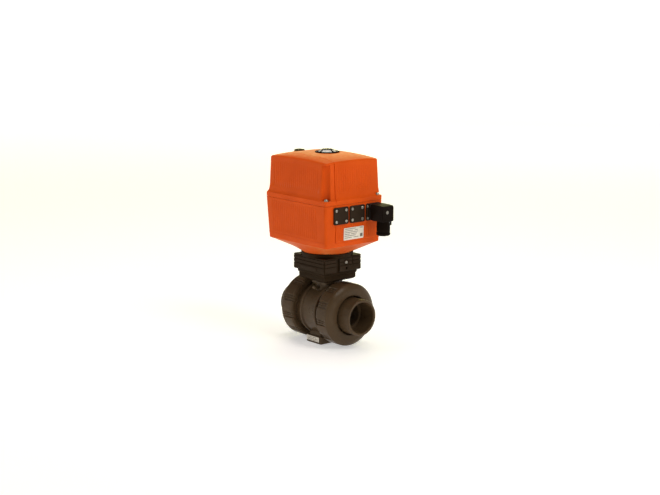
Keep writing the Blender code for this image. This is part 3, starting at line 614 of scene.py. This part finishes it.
def cover():
    """The upper cover: rim flange, ribbed leaning walls, screw notches and domed top."""
    low = COVER_LOW.z
    rings = [
        case_ring(low + 3, grown(RIM, -3.5), radius=2),
        case_ring(low, grown(RIM, -3.5), radius=2),
        case_ring(low, grown(RIM, -0.5)),
        case_ring(low + 0.5, RIM),
        case_ring(FLANGE_TOP - 0.5, RIM, seam=SEAM_DEPTH * 0.6),
        case_ring(FLANGE_TOP, grown(RIM, -0.3), seam=SEAM_DEPTH),
        case_ring(
            FLANGE_TOP + 0.15, between(RIM, WALL_FOOT, 0.2), seam=SEAM_DEPTH, notches=(-1, 1)
        ),
    ]
    flare = (
        (0.45, 196.4, (-1, 1)),
        (0.66, 198.0, (-1, 1)),
        (0.78, POCKET_TOP - 0.1, (-1, 1)),
        (0.79, POCKET_TOP, (-1,)),
        (0.94, 203.0, (-1,)),
        (1.0, 205.8, (-1,)),
    )
    for part, z, notches in flare:
        rings.append(case_ring(z, between(RIM, WALL_FOOT, part), seam=SEAM_DEPTH, notches=notches))

    def wall(z):
        return between(WALL_FOOT, WALL_TOP, (z - WALL_FOOT_Z) / (CROWN_Z - TOP_EDGE - WALL_FOOT_Z))

    levels = (
        (207.4, 1.0, 0.0),
        (217.0, 1.0, 0.0),
        (227.0, 1.0, 0.1),
        (237.0, 1.0, 0.35),
        (245.0, 1.0, 0.6),
        (246.2, 0.0, 0.62),
        (249.4, 0.0, 0.8),
    )
    for z, rib, lift in levels:
        rings.append(case_ring(z, wall(z), rib, lift * 0.9, SEAM_DEPTH, (-1,)))
    rings.append(case_ring(250.5, WALL_TOP, 0, 0.9, SEAM_DEPTH, (-1,)))
    rings.append(case_ring(250.6, WALL_TOP, 0, 0.95, SEAM_DEPTH))
    for i in range(6):
        a = i / 5 * math.pi / 2
        size = grown(WALL_TOP, -TOP_EDGE * (1 - math.cos(a)))
        z = CROWN_Z - TOP_EDGE * (1 - math.sin(a))
        seam = SEAM_DEPTH * (1 - i / 5)
        rings.append(case_ring(z, size, 0, 1.0, seam, radius=CASE_CORNER - i * 0.3))
    rings = domed_top(rings, grown(WALL_TOP, -TOP_EDGE))
    shell = piece(
        "cover_shell",
        to_mesh("cover_shell", skin(rings)),
        ORANGE,
        replaces=["upper_cover"],
        sharp=28,
    )
    mould_line = []
    for k in range(41):
        x = -70 + 141.3 * k / 40
        floor = CROWN_Z + crown(x, SEAM) - 0.6
        section = ((-0.25, floor), (0.25, floor), (0.8, floor + 2), (-0.8, floor + 2))
        mould_line.append([(CASE_X + x, CASE_Y + SEAM + y, z) for y, z in section])
    carve(shell, "DIFFERENCE", [skin(mould_line)], 28)


def lower_size(z):
    """The lower housing's leaning walls at a level."""
    return between(RIM, BELLY, (PARTING_Z - z) / (PARTING_Z - BELLY_Z))


def wall_line(face, low, high, foot, top, depth=0.5):
    """A thin prism that follows one of the lower housing's leaning walls, to carve a line."""
    rings = []
    for z in (foot, top):
        half_x, half_y = (side / 2 for side in lower_size(z))
        if face == "X":
            near, far = CASE_X + half_x - depth, CASE_X + half_x + 2
            rings.append([(near, low, z), (far, low, z), (far, high, z), (near, high, z)])
        else:
            near, far = CASE_Y - half_y + depth, CASE_Y - half_y - 2
            rings.append([(low, near, z), (low, far, z), (high, far, z), (high, near, z)])
    return skin(rings)


def lower_case():
    """The lower housing: ribbed walls with a raised panel on +X, and a sloping underside."""
    top = RIM_HIGH.z
    rings = [
        case_ring(top, grown(RIM, -3.5), radius=2),
        case_ring(top, grown(RIM, -0.5)),
        case_ring(top - 0.5, RIM, panel=0.1),
    ]
    levels = (
        (183.6, 0.0, 0.7),
        (182.6, 1.0, 0.7),
        (165.0, 1.0, 0.7),
        (145.0, 1.0, 0.7),
        (132.0, 1.0, 0.7),
        (131.0, 0.0, 0.7),
        (127.8, 0.0, 0.7),
        (127.2, 0.0, 0.0),
        (125.4, 0.0, 0.0),
    )
    for z, rib, panel in levels:
        rings.append(case_ring(z, lower_size(z), rib, panel=panel))
    rings.append(case_ring(124.8, grown(BELLY, 0.1)))
    rings.append(case_ring(BELLY_Z + 0.8, BELLY))
    rings.append(case_ring(BELLY_Z + 0.1, grown(BELLY, -0.3)))
    belly = case_ring(BELLY_Z - 0.3, grown(BELLY, -1.0))
    rings.append(belly)
    foot = []
    for x, y, _ in belly:
        a = math.atan2(y, x)
        foot.append((FOOT_R * math.cos(a), FOOT_R * math.sin(a)))
    slope = ((0.12, 116.2), (0.35, 111.8), (0.6, 107.0), (0.82, 103.0), (0.95, 101.0), (0.99, 100.4))
    for m, z in slope + ((1.0, FOOT_Z + 0.3), (1.02, FOOT_Z)):
        ring = []
        for b, f in zip(belly, foot):
            ring.append((b[0] + (f[0] - b[0]) * m, b[1] + (f[1] - b[1]) * m, z))
        rings.append(ring)
    rings.append([(f[0] * 0.5, f[1] * 0.5, FOOT_Z) for f in foot])
    rings.append([(f[0] * 0.5, f[1] * 0.5, FOOT_Z + 6) for f in foot])
    shell = piece(
        "lower_shell",
        to_mesh("lower_shell", skin(rings)),
        ORANGE,
        replaces=["lower_housing"],
        sharp=28,
    )
    seam = CASE_Y + SEAM
    lines = [
        wall_line("X", seam - 0.6, seam + 0.6, 124.6, 153.4),
        wall_line("X", seam + 0.6, 51.5, 124.6, 125.6, 0.4),
        wall_line("Y", 69.2, 69.9, 122, 183.5, 0.6),
        wall_line("Y", -72, 62, 126.6, 127.4, 0.35),
    ]
    carve(shell, "DIFFERENCE", lines, 28)
    pad_high = (span("blank_plate_1")[0].x - 0.25, 51.5, 185.2)
    pad = brick((55, -49.5, 154.5), pad_high, 1.2)
    piece("connector_pad", to_mesh("connector_pad", pad), ORANGE)


def screw_head(radius, height):
    """A low domed head with a hexagon socket, standing on z = 0 along +Z."""
    profile = eased(
        [
            (0, height * 0.45, 0),
            (radius * 0.45, height * 0.45, 0.05),
            (radius * 0.5, height, 0.15),
            (radius * 0.72, height, 0.3),
            (radius, height * 0.45, 0.4),
            (radius, 0, 0.1),
            (0, 0, 0),
        ],
        0.1,
    )

    def facets(angle, r, z):
        if r > radius * 0.55:
            return r
        sector = math.pi / 6
        away = (angle % (2 * sector)) - sector
        return r * math.cos(sector) / math.cos(away)

    return spin(profile, sides=48, shape_radius=facets)


def moved(shape, at=(0, 0, 0), toward="Z"):
    """Turns a shape made along +Z to point along another axis, and moves it."""
    turns = {
        "Z": Matrix.Identity(4),
        "X": Matrix.Rotation(math.pi / 2, 4, "Y"),
    }
    shape.transform(Matrix.Translation(at) @ turns[toward])
    return shape


def cover_screws():
    for number in range(1, 5):
        name = f"cover_screw_{number}"
        low, high = span(name)
        at = ((low.x + high.x) / 2, (low.y + high.y) / 2)
        head = moved(screw_head(3.4, 3.1), (*at, FLANGE_TOP + 0.25))
        shank = tube(1.8, low.z, FLANGE_TOP + 0.5, (*at, 0), sides=24)
        piece(f"{name}_body", to_mesh(name, merged(head, shank)), STEEL, replaces=[name])


def indicator():
    """Black bezel, clear dome and a rotor with white segments."""
    ring = eased(
        [
            (15.6, 263),
            (15.6, 264.0, 0.3),
            (20.2, 264.0, 0.8),
            (20.2, 262.6, 0.2),
            (18, 262.6),
            (18, 257.5),
            (16.4, 257.5),
        ],
        0.2,
    )
    bezel = to_mesh("bezel", spin(ring, sides=128))
    piece("bezel", bezel, DULL, replaces=["indicator_ring"])
    window = [
        (0, 269.5, 0),
        (8, 268.9),
        (13, 267.5),
        (17, 265.6),
        (19.2, 264.2),
        (15.9, 264.2),
        (15.4, 265.4),
        (12.4, 266.9),
        (8, 268.2),
        (0, 268.8, 0),
    ]
    dome = to_mesh("window_dome", spin(eased(window, 0.8), sides=128))
    piece("window_dome", dome, CLEAR, replaces=["indicator_window"])
    rotor = [(0, 268.5, 0), (6.5, 268.0), (8.6, 267.5), (15.2, 263.8), (15.2, 260), (0, 260, 0)]
    disc = to_mesh("rotor", spin(eased(rotor, 0.3), sides=96))
    piece("rotor", disc, DULL, "output_train", ["indicator_disc"])
    segments = []
    for quarter in range(4):
        middle = math.radians(45 + quarter * 90)
        half = math.radians(36)
        rings = []
        for i in range(13):
            a = middle - half + 2 * half * i / 12
            path = ((9.4, 266.7), (14.6, 263.8), (14.8, 264.15), (9.6, 267.2))
            rings.append([(r * math.cos(a), r * math.sin(a), z) for r, z in path])
        segments.append(skin(rings))
    marks = to_mesh("rotor_segments", merged(*segments))
    piece("rotor_segments", marks, WHITE, "output_train")


def override_cap():
    low, high = span("override_plug")
    at = ((low.x + high.x) / 2, (low.y + high.y) / 2, 0)
    seat = high.z - 3.3
    profile = eased(
        [
            (0, high.z - 1.4, 0),
            (3.0, high.z - 1.4, 0.1),
            (3.2, high.z - 0.2, 0.2),
            (7.6, high.z - 0.4, 0.6),
            (8.8, high.z - 1.4, 0.6),
            (8.8, seat, 0.2),
            (6, seat, 0.1),
            (6, low.z, 0.4),
            (0, low.z, 0),
        ],
        0.2,
    )

    def grip(angle, r, z):
        return r - 0.25 * (0.5 + 0.5 * math.cos(angle * 24)) if r > 8 else r

    cap = to_mesh("override_cap", spin(profile, "Z", at, 144, grip))
    piece("override_cap", cap, BLACK, "override_plug", ["override_plug"])
    base = seat - 0.3
    boss = eased([(6.3, 248), (9.9, 248), (9.9, base, 0.5), (6.3, base, 0.3)], 0.2)
    piece("override_boss", to_mesh("override_boss", spin(boss, "Z", at, 72)), ORANGE)


# ---------------------------------------------------------------- adapter module


def level_box(levels, radius):
    """A rectangular body from (z, half x, half y) levels with rounded vertical corners."""
    rings = []
    for z, half_x, half_y in levels:
        rings.append([(x, y, z) for x, y in rounded((2 * half_x, 2 * half_y), radius)])
    return skin(rings)


def module():
    low, high = span("module_housing")
    half = high.x
    lower_half = 33.8
    upper = [
        (69.0, half - 1.2, half - 1.2),
        (69.6, half - 0.3, half - 0.3),
        (70.6, half, half),
        (78.6, half, half),
        (78.9, half - 0.7, half - 0.7),
        (79.9, half - 0.7, half - 0.7),
        (80.2, half, half),
        (84.8, half, half),
        (85.1, half - 0.7, half - 0.7),
        (86.1, half - 0.7, half - 0.7),
        (86.4, half, half),
        (90.4, half, half),
        (91.0, half - 0.6, half - 0.6),
    ]
    lower = [
        (low.z, 20.4, 20.4),
        (low.z + 0.4, 21, 21),
        (52.5, 21, 21),
        (52.6, lower_half - 3.6, lower_half - 3.6),
        (54.5, lower_half - 1.0, lower_half - 1.0),
        (55.5, lower_half, lower_half),
        (63.0, lower_half, lower_half),
        (64.2, lower_half + 1.3, lower_half + 1.3),
        (67.5, lower_half + 1.6, lower_half + 1.6),
        (70.0, lower_half + 1.6, lower_half + 1.6),
    ]
    box = piece(
        "module_shell",
        to_mesh("module_shell", level_box(upper, 2.2)),
        BLACK,
        replaces=["module_housing"],
    )
    carve(box, "UNION", [level_box(lower, 2.2)])
    corner = brick((half - 1.7, -half - 2, 60), (half + 3, 1.7 - half, 95), 0)
    slot = brick((half - 3.2, -14.3, 68.5), (half + 5, -6.9, 96), 0.6)
    relief = brick((half - 1.3, 19.2, 80.5), (half + 5, 21.0, 96), 0.3)
    recess = tube(4.4, half - 1.0, half + 5, (0, 7.2, 84.3), "X", 0.2)
    hole = tube(2.1, half - 6, half + 5, (0, 7.8, 74.2), "X", 0.2)
    carve(box, "DIFFERENCE", [corner, slot, relief, recess, hole])
    for side in (-1, 1):
        rib = brick((-20, side * (half - 0.2) - 0.9, 71.5), (20, side * (half - 0.2) + 0.9, 77.5), 0.5)
        name = f"module_badge_{'front' if side < 0 else 'back'}"
        piece(name, to_mesh(name, rib), BLACK)
    lid_low, lid_high = span("module_lid")
    plate = [
        (lid_low.z, half - 0.5, half - 0.5),
        (lid_low.z + 0.4, half, half),
        (93.4, half, half),
        (94.0, half - 0.7, half - 0.7),
    ]
    lid = piece(
        "module_cap",
        to_mesh("module_cap", level_box(plate, 2.2)),
        BLACK,
        replaces=["module_lid"],
    )
    collar = eased([(17, 92), (43, 92), (43, lid_high.z, 0.6), (17, lid_high.z)], 0.2)
    carve(lid, "UNION", [spin(collar, sides=128)])
    head = moved(screw_head(2.8, 1.7), (half - 0.7, 7.2, 84.3), "X")
    shank = tube(1.6, 33, half, (0, 7.2, 84.3), "X", sides=24)
    bolt = to_mesh("module_bolt", merged(head, shank))
    piece("module_bolt", bolt, STEEL, replaces=["module_screw"])


# ---------------------------------------------------------------- ball valve


def barrel():
    low, high = span("valve_body")
    end = high.x
    side = [
        (40.6, -end, 0.3),
        (41.4, -end + 1.2, 0.3),
        (41.4, -31.5, 0.2),
        (39.6, -31.2, 0.3),
        (39.6, -20.6, 0.8),
        (43.8, -19.6, 0.9),
        (44.0, -15.4, 0.9),
        (41.6, -14.2, 0.8),
    ]
    outer = side + [(r, -x, ease) for r, x, ease in reversed(side)]
    inner = [
        (33, end),
        (33, 17),
        (31.5, 17),
        (31.5, -17),
        (27.3, -17),
        (27.3, -24.3),
        (20.5, -24.3),
        (20.5, -end),
    ]
    body = piece(
        "barrel",
        to_mesh("barrel", spin(eased(outer + inner, 0.25), "X", sides=128)),
        VALVE,
        replaces=["valve_body"],
    )
    neck_side = [(0, 30, 0), (22.5, 30), (22.5, 36), (19.5, 41.5, 3), (19.5, 49), (0, 49, 0)]
    neck = spin(eased(neck_side, 0.5), sides=96)
    flange_levels = [(44.6, 18.0, 18.0), (45.2, 18.8, 18.8), (49.2, 18.8, 18.8), (49.7, 18.4, 18.4)]
    flange = level_box(flange_levels, 3.5)
    web = level_box([(-48, 16.5, 27.5), (-42, 16.0, 27.0), (-36, 14.6, 25.4), (-30, 13.6, 22.5)], 3.0)
    foot = level_box(
        [
            (low.z, 18.0, 29.2),
            (low.z + 0.8, 18.8, 30.0),
            (-42.0, 18.8, 30.0),
            (-41.0, 17.9, 29.1),
        ],
        2.2,
    )
    carve(body, "UNION", [neck, flange, web, foot])
    cuts = [
        tube(12.4, 24, 35, sides=48),
        tube(9.3, 30, 60, sides=48),
        tube(12.4, 41, 60, sides=48),
        brick((-18.0, -31, -52.9), (18.0, -29.6, -40.0), 0.2),
    ]
    for y in (-22.5, 22.5):
        cuts.append(tube(6.3, -56, -42.3, (0, y, 0), ease=0.1, sides=48))
    for x in (-7.5, 7.5):
        cuts.append(brick((x - 3.2, -16, -56), (x + 3.2, 16, -46), 0.8))
    carve(body, "DIFFERENCE", cuts)
    for side_y in (-1, 1):
        lug = brick((-4, side_y * 24.5 - 5, 37.5), (4, side_y * 24.5 + 5, 42.3), 1.2)
        piece(f"neck_lug_{'front' if side_y < 0 else 'back'}", to_mesh("lug", lug), VALVE)


def nut_radius(middle):
    """Eleven raised grips around the nut, with two small ribs in each valley between them.
    One valley has its middle at this angle."""
    period = math.radians(360 / 11)

    def radius(angle, r, x):
        if r < 44 or abs(x) > 55.5:
            return r
        at = ((angle - math.radians(middle)) / period + 0.5) % 1
        depth = 2.1 * min(1.0, (r - 44) / 5)
        if abs(x) > 52.5:
            depth *= max(0.0, 1 - (abs(x) - 52.5) / 1.2)
        valley = smooth_step(0.305, 0.325, at) * (1 - smooth_step(0.675, 0.695, at))
        ribs = bump_at(at, 0.44, 0.02) + bump_at(at, 0.56, 0.02)
        return r - depth * valley * (1 - 0.6 * min(1.0, ribs))

    return radius


def smooth_step(low, high, value):
    t = max(0.0, min(1.0, (value - low) / (high - low)))
    return t * t * (3 - 2 * t)


def bump_at(value, middle, half):
    away = abs(value - middle) / half
    return 0.0 if away > 1.6 else 1.0 - smooth_step(0.8, 1.6, away)


def union_nuts():
    nuts = (("union_nut_left", "nut_left", -1, 248), ("union_nut_right", "nut_right", 1, 246))
    for name, body, side, valley in nuts:
        profile = [
            (42.0, 30.5, 0.4),
            (49.2, 30.5, 0.8),
            (52.0, 32.6, 1.2),
            (52.0, 41, 0),
            (52.0, 47, 0),
            (52.0, 56.2, 0.8),
            (50.9, 57.8, 0.9),
            (47.6, 60.6, 1.5),
            (42.6, 63.0, 1.5),
            (35.0, 64.0, 0.9),
            (32.6, 63.4, 0.5),
            (32.6, 51.3, 0.3),
            (42.0, 51.3, 0.3),
        ]
        outline = eased([(r, side * x, ease) for r, x, ease in profile], 0)
        shape = spin(outline, "X", sides=792, shape_radius=nut_radius(valley))
        piece(f"{name}_body", to_mesh(name, shape), VALVE, body, [name], sharp=24)


def union_ends():
    for name, body, side in (("union_end_left", "union_left", -1), ("union_end_right", "union_right", 1)):
        low, high = span(name)
        end = max(abs(low.x), abs(high.x))
        profile = [
            (20.5, 45.3, 0.3),
            (38.0, 45.3, 0.4),
            (38.0, 51.0, 0.5),
            (30.6, 51.0, 0.8),
            (30.1, 55.0, 1.0),
            (30.0, 62.0, 0),
            (30.0, end - 1.0, 0.7),
            (29.2, end, 0.5),
            (26.0, end, 0.5),
            (25.1, end - 1.8, 0.5),
            (24.95, end - 12, 0),
            (24.9, end - 31, 0.3),
            (20.5, end - 31, 0.5),
            (20.5, 54.0, 0),
        ]
        shape = spin(eased([(r, side * x, ease) for r, x, ease in profile], 0), "X", sides=160)
        piece(f"{name}_body", to_mesh(name, shape), VALVE, body, [name])


def valve_ball():
    ball_r, bore_r = 30.0, 20.0
    edge = math.sqrt(ball_r**2 - bore_r**2)
    start = math.asin(edge / ball_r)
    arc = [(ball_r * math.cos(a), ball_r * math.sin(a), 0) for a in (start * (1 - i / 20) for i in range(41))]
    shape = spin(eased(arc, 0), "X", sides=128)
    ball = piece("ball_body", to_mesh("ball", shape), VALVE, "output_train", ["ball"])
    carve(ball, "DIFFERENCE", [brick((-4, -16, 24), (4, 16, 34), 0.4)])


def foot_label():
    low, high = span("base_label")
    label = brick(low + Vector((0.9, 0, 1.6)), high - Vector((2.4, 0, 0.6)), 0.3)
    piece("foot_label", to_mesh("foot_label", label), FILM, replaces=["base_label"])
    marks = []
    for row in range(3):
        z = high.z - 2.7 - row * 2.4
        for left, right in (((-14, -3), (-1, 8)) if row != 1 else ((-14, 2), (4, 12))):
            marks.append(brick((left, low.y - 0.02, z - 0.4), (right, low.y + 0.1, z + 0.4), 0))
    piece("foot_label_marks", to_mesh("foot_label_marks", merged(*marks)), INK)


# ---------------------------------------------------------------- connectors


PLATE_INSET = 4.9  # from a blanking plate's edge to its screws


def plate_screws(name, low, high):
    heads = []
    for y in (low.y + PLATE_INSET, high.y - PLATE_INSET):
        for z in (low.z + PLATE_INSET, high.z - PLATE_INSET):
            heads.append(moved(screw_head(2.5, 1.0), (high.x - 0.25, y, z), "X"))
    piece(f"{name}_screws", to_mesh(name, merged(*heads)), STEEL)


def plate_outline(low, high):
    """A rounded rectangle across Y and Z between two corners."""
    middle = (low + high) / 2
    return rounded((high.y - low.y, high.z - low.z), 2.2, (middle.y, middle.z))


def blanking_plates():
    for name in ("blank_plate_1", "blank_plate_2"):
        low, high = span(name)
        outline = plate_outline(low, high)
        shape = extruded(outline, low.x, high.x, "X", 0.6, 3)
        plate = piece(f"{name}_body", to_mesh(name, shape), PLATE, replaces=[name])
        pockets = []
        for y in (low.y + PLATE_INSET, high.y - PLATE_INSET):
            for z in (low.z + PLATE_INSET, high.z - PLATE_INSET):
                pockets.append(tube(3.1, high.x - 0.6, high.x + 3, (0, y, z), "X", 0.1, 32))
        carve(plate, "DIFFERENCE", pockets)
        plate_screws(name, low, high)


def connector_base():
    low, high = span("connector_base")
    face = 75.2
    outline = plate_outline(low, high)
    base = piece(
        "connector_flange",
        to_mesh("connector_flange", extruded(outline, low.x, face, "X", 0.6, 3)),
        PLATE,
        replaces=["connector_base"],
    )
    boss = rounded((19, 23.4), 2, (35.5, 170.7))
    blades = [brick((76, y - 0.5, 164), (88, y + 0.5, 170), 0.2) for y in (30.5, 40.5)]
    carve(base, "UNION", [extruded(boss, 74, 77.2, "X", 0.3)])
    piece("connector_blades", to_mesh("connector_blades", merged(*blades)), STEEL)
    heads = []
    for y in (low.y + 2.6, high.y - 2.6):
        for z in (low.z + 4.4, high.z - 4.4):
            heads.append(moved(screw_head(2.0, 0.9), (face - 0.1, y, z), "X"))
    piece("connector_flange_screws", to_mesh("connector_flange_screws", merged(*heads)), STEEL)


def plug():
    low, high = span("connector_plug")
    top, bottom = high.z, 157.4
    left, right = low.y, high.y
    x0, x1 = low.x, high.x
    side = eased(
        [
            (x0, bottom, 5.0),
            (x1, bottom, 1.4),
            (x1, top - 0.9, 1.8),
            (x1 - 16, top, 2.5),
            (x0, top, 5.0),
        ],
        1,
        6,
    )
    shape = extruded(side, left, right, "Y", 1.1, 4)
    block = to_mesh("plug_body", shape)
    body = piece("plug_body", block, PLUG, "connector", ["connector_plug"])
    gx, gy = 98.4, 35.4
    neck_side = [(0, 165, 0), (10.6, 165), (10.6, 158), (11, 150, 0), (11, 139.9, 0.6), (0, 139.9, 0)]
    neck = spin(eased(neck_side, 0.2), "Z", (gx, gy, 0), 96)
    carve(body, "UNION", [neck])
    cuts = [
        brick((70, 28.5, 161.5), (89, 42.5, 176.5), 0.5),
        tube(8.4, 130, 151, (gx, gy, 0)),
        tube(5.3, 130, 163, (gx, gy, 0)),
        tube(1.9, 70, 120, (0, 34.6, 172.5), "X", sides=32),
        tube(3.9, x1 - 2.2, 120, (0, 34.6, 172.5), "X", 0.2),
        brick((x1 - 7.4, left - 2, 150), (x1 - 6.6, left + 0.6, 190), 0),
        brick((x1 - 7.4, right - 0.6, 150), (x1 - 6.6, right + 2, 190), 0),
        brick((x1 - 7.4, left - 2, top - 1.1), (x1 - 6.6, right + 2, 190), 0),
    ]
    carve(body, "DIFFERENCE", cuts)
    head = moved(screw_head(3.2, 2.2), (107.4, 34.6, 172.5), "X")
    shank = tube(1.5, 79, 107.6, (0, 34.6, 172.5), "X", sides=24)
    screw = to_mesh("plug_screw", merged(head, shank))
    piece("plug_screw", screw, STEEL, "connector", ["connector_screw"])
    profile = [
        (5.2, 134),
        (9.6, 134, 1.0),
        (11.3, 135.4, 0.6),
        (11.3, 138.9, 0.4),
        (8.0, 139.0),
        (8.0, 150.6),
        (5.2, 150.6),
    ]

    def knurl(angle, r, z):
        return r - 0.4 * (0.5 + 0.5 * math.cos(angle * 20)) if r > 9.5 and z < 139 else r

    nut = spin(eased(profile, 0.3), "Z", (gx, gy, 0), 240, knurl)
    piece("gland_cap", to_mesh("gland_cap", nut), PLUG, "connector", ["gland_nut"])


def rating_label():
    """A film label that follows the leaning wall, with ruled rows in place of print."""
    low, high = span("rating_label")
    lean = math.atan2((RIM[0] - BELLY[0]) / 2, PARTING_Z - BELLY_Z)
    middle = Vector(((low.x + high.x) / 2 + 0.55, (low.y + high.y) / 2, (low.z + high.z) / 2))
    width, height = high.y - low.y, (high.z - low.z) - 0.1
    plate = extruded(rounded((width, height), 1.2), -0.3, 0.3, "X", 0.12, 2)
    marks = []
    rows = (  # the height of each row, and its bars' left and right ends, as parts of the label
        (0.40, (-0.46, 0.10), (0.30, 0.46)),
        (0.26, (-0.46, -0.05), (0.05, 0.2)),
        (0.12, (-0.46, 0.22)),
        (-0.02, (-0.46, -0.2), (-0.14, 0.16)),
        (-0.16, (-0.46, 0.1)),
        (-0.32, (-0.46, -0.1), (0.0, 0.24)),
    )
    for at, *bars in rows:
        for left, right in bars:
            z = at * height
            marks.append(brick((0.25, left * width, z - 0.45), (0.34, right * width, z + 0.45), 0))
    marks.append(brick((0.25, 0.32 * width, -0.36 * height), (0.34, 0.45 * width, -0.08 * height), 0))
    turn = Matrix.Translation(middle) @ Matrix.Rotation(lean, 4, "Y")
    for name, shape, finish, stands_for in (
        ("label_plate", plate, FILM, ["rating_label"]),
        ("label_marks", merged(*marks), INK, []),
    ):
        shape.transform(turn)
        piece(name, to_mesh(name, shape), finish, replaces=stands_for)


# ---------------------------------------------------------------- pieces that stay CAD


def inner_finishes():
    """Better materials for the CAD nodes that stay, and eased edges on the larger ones."""
    finishes = {
        ACETAL: ["gear_second", "gear_third", "output_gear", "cam_open", "cam_closed", "terminal_block"],
        FLUOR: ["seat_left", "seat_right"],
        RUBBER: ["stem_seal", "face_seal_left", "face_seal_right", "housing_seal", "connector_gasket"],
        BRASS: ["base_insert_front", "base_insert_back", "output_bush"],
        VALVE: ["stem", "seal_carrier"],
        BLACK: ["switch_open", "switch_closed", "board_frame", "transformer"],
        MASK: ["circuit_board"],
        STEEL: ["gear_plate_lower", "gear_plate_upper", "switch_bracket", "motor"],
        TURNED_STEEL: [
            "coupling_shaft",
            "gear_axle_2",
            "gear_axle_3",
            "motor_shaft",
            "output_shaft",
            "override_shaft",
        ],
    }
    for finish, names in finishes.items():
        for name in names:
            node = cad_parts[name]
            node.data.materials.clear()
            node.data.materials.append(finish)
            weld = node.modifiers.new("weld", "WELD")
            weld.merge_threshold = 1e-6
            bevel = node.modifiers.new("ease", "BEVEL")
            bevel.width = 0.0002
            bevel.segments = 2
            bevel.angle_limit = math.radians(40)


# ---------------------------------------------------------------- stage

VIEW_TURN = math.radians(40.27)  # from the pipe's axis towards the front
VIEW_RISE = math.radians(11.13)
VIEW_DISTANCE = 2.442
FOCAL_LENGTH = 79.86
AIM = Vector((-0.01205, 0.01617, 0.1538))


def stage():
    camera = bpy.data.cameras.new("camera")
    camera.lens = FOCAL_LENGTH
    camera.sensor_width = 36.0
    camera.clip_end = 100.0
    eye = bpy.data.objects.new("camera", camera)
    bpy.context.scene.collection.objects.link(eye)
    back = Vector(
        (
            math.cos(VIEW_TURN) * math.cos(VIEW_RISE),
            -math.sin(VIEW_TURN) * math.cos(VIEW_RISE),
            math.sin(VIEW_RISE),
        )
    )
    eye.location = AIM + back * VIEW_DISTANCE
    eye.rotation_euler = back.to_track_quat("Z", "Y").to_euler()
    bpy.context.scene.camera = eye

    floor_mesh = bpy.data.meshes.new("floor")
    shape = bmesh.new()
    bmesh.ops.create_grid(shape, x_segments=1, y_segments=1, size=40)
    shape.to_mesh(floor_mesh)
    shape.free()
    floor = bpy.data.objects.new("floor", floor_mesh)
    bpy.context.scene.collection.objects.link(floor)
    floor.location.z = -0.0002
    pale = bpy.data.materials.new("pale_floor")
    pale.use_nodes = True
    shader = pale.node_tree.nodes["Principled BSDF"]
    shader.inputs["Base Color"].default_value = (0.86, 0.86, 0.86, 1)
    shader.inputs["Roughness"].default_value = 0.9
    shader.inputs["Specular IOR Level"].default_value = 0.1
    shader.inputs["Emission Color"].default_value = (1, 1, 1, 1)
    links, nodes = pale.node_tree.links, pale.node_tree.nodes
    # The floor glows with painted light. Its emission rises from dim near the object to full far away, which
    # paints faint shade around the object.
    place = nodes.new("ShaderNodeTexCoord")
    away = nodes.new("ShaderNodeVectorMath")
    away.operation = "LENGTH"
    glow = nodes.new("ShaderNodeMapRange")
    glow.interpolation_type = "SMOOTHSTEP"
    for name, value in (("From Min", 0.4), ("From Max", 5.0), ("To Min", 0.42), ("To Max", 1.0)):
        glow.inputs[name].default_value = value
    links.new(place.outputs["Object"], away.inputs[0])
    links.new(away.outputs["Value"], glow.inputs["Value"])
    links.new(glow.outputs["Result"], shader.inputs["Emission Strength"])
    floor_mesh.materials.append(pale)

    world = bpy.data.worlds.new("studio")
    world.use_nodes = True
    links, nodes = world.node_tree.links, world.node_tree.nodes
    nodes["Background"].inputs["Color"].default_value = (1.0, 0.97, 0.93, 1)
    place = nodes.new("ShaderNodeTexCoord")
    height = nodes.new("ShaderNodeSeparateXYZ")
    fade = nodes.new("ShaderNodeMapRange")
    fade.interpolation_type = "SMOOTHSTEP"
    for name, value in (("From Min", 0.16), ("From Max", 0.4), ("To Min", 1.0), ("To Max", 0.06)):
        fade.inputs[name].default_value = value
    links.new(place.outputs["Generated"], height.inputs["Vector"])
    links.new(height.outputs["Z"], fade.inputs["Value"])
    links.new(fade.outputs["Result"], nodes["Background"].inputs["Strength"])
    bpy.context.scene.world = world
    bpy.context.scene.view_settings.view_transform = "Standard"

    softbox("overhead", (-0.3, 0.2, 1.7), (1.2, 1.0), 13, (1.0, 0.96, 0.88))
    softbox("behind", (-1.8, 2.3, 1.3), (2.4, 0.9), 26, (1.0, 0.95, 0.3))
    softbox("left", (-0.9, -1.7, 1.3), (0.9, 0.9), 7, (1.0, 0.96, 0.88))
    softbox("right", (1.6, 0.2, 1.7), (0.9, 0.9), 20, (1.0, 0.96, 0.88))


def softbox(name, place, size, power, colour):
    light = bpy.data.lights.new(name, "AREA")
    light.shape = "RECTANGLE"
    light.size, light.size_y = size
    light.energy = power
    light.color = colour
    obj = bpy.data.objects.new(name, light)
    bpy.context.scene.collection.objects.link(obj)
    obj.location = place
    target = Vector((0, 0, 0.17))
    obj.rotation_euler = (Vector(place) - target).to_track_quat("Z", "Y").to_euler()


cover()
lower_case()
cover_screws()
indicator()
override_cap()
module()
barrel()
union_nuts()
union_ends()
valve_ball()
foot_label()
blanking_plates()
connector_base()
plug()
rating_label()
inner_finishes()
stage()


def plain(bounds):
    return [[round(float(value), 5) for value in corner] for corner in bounds]
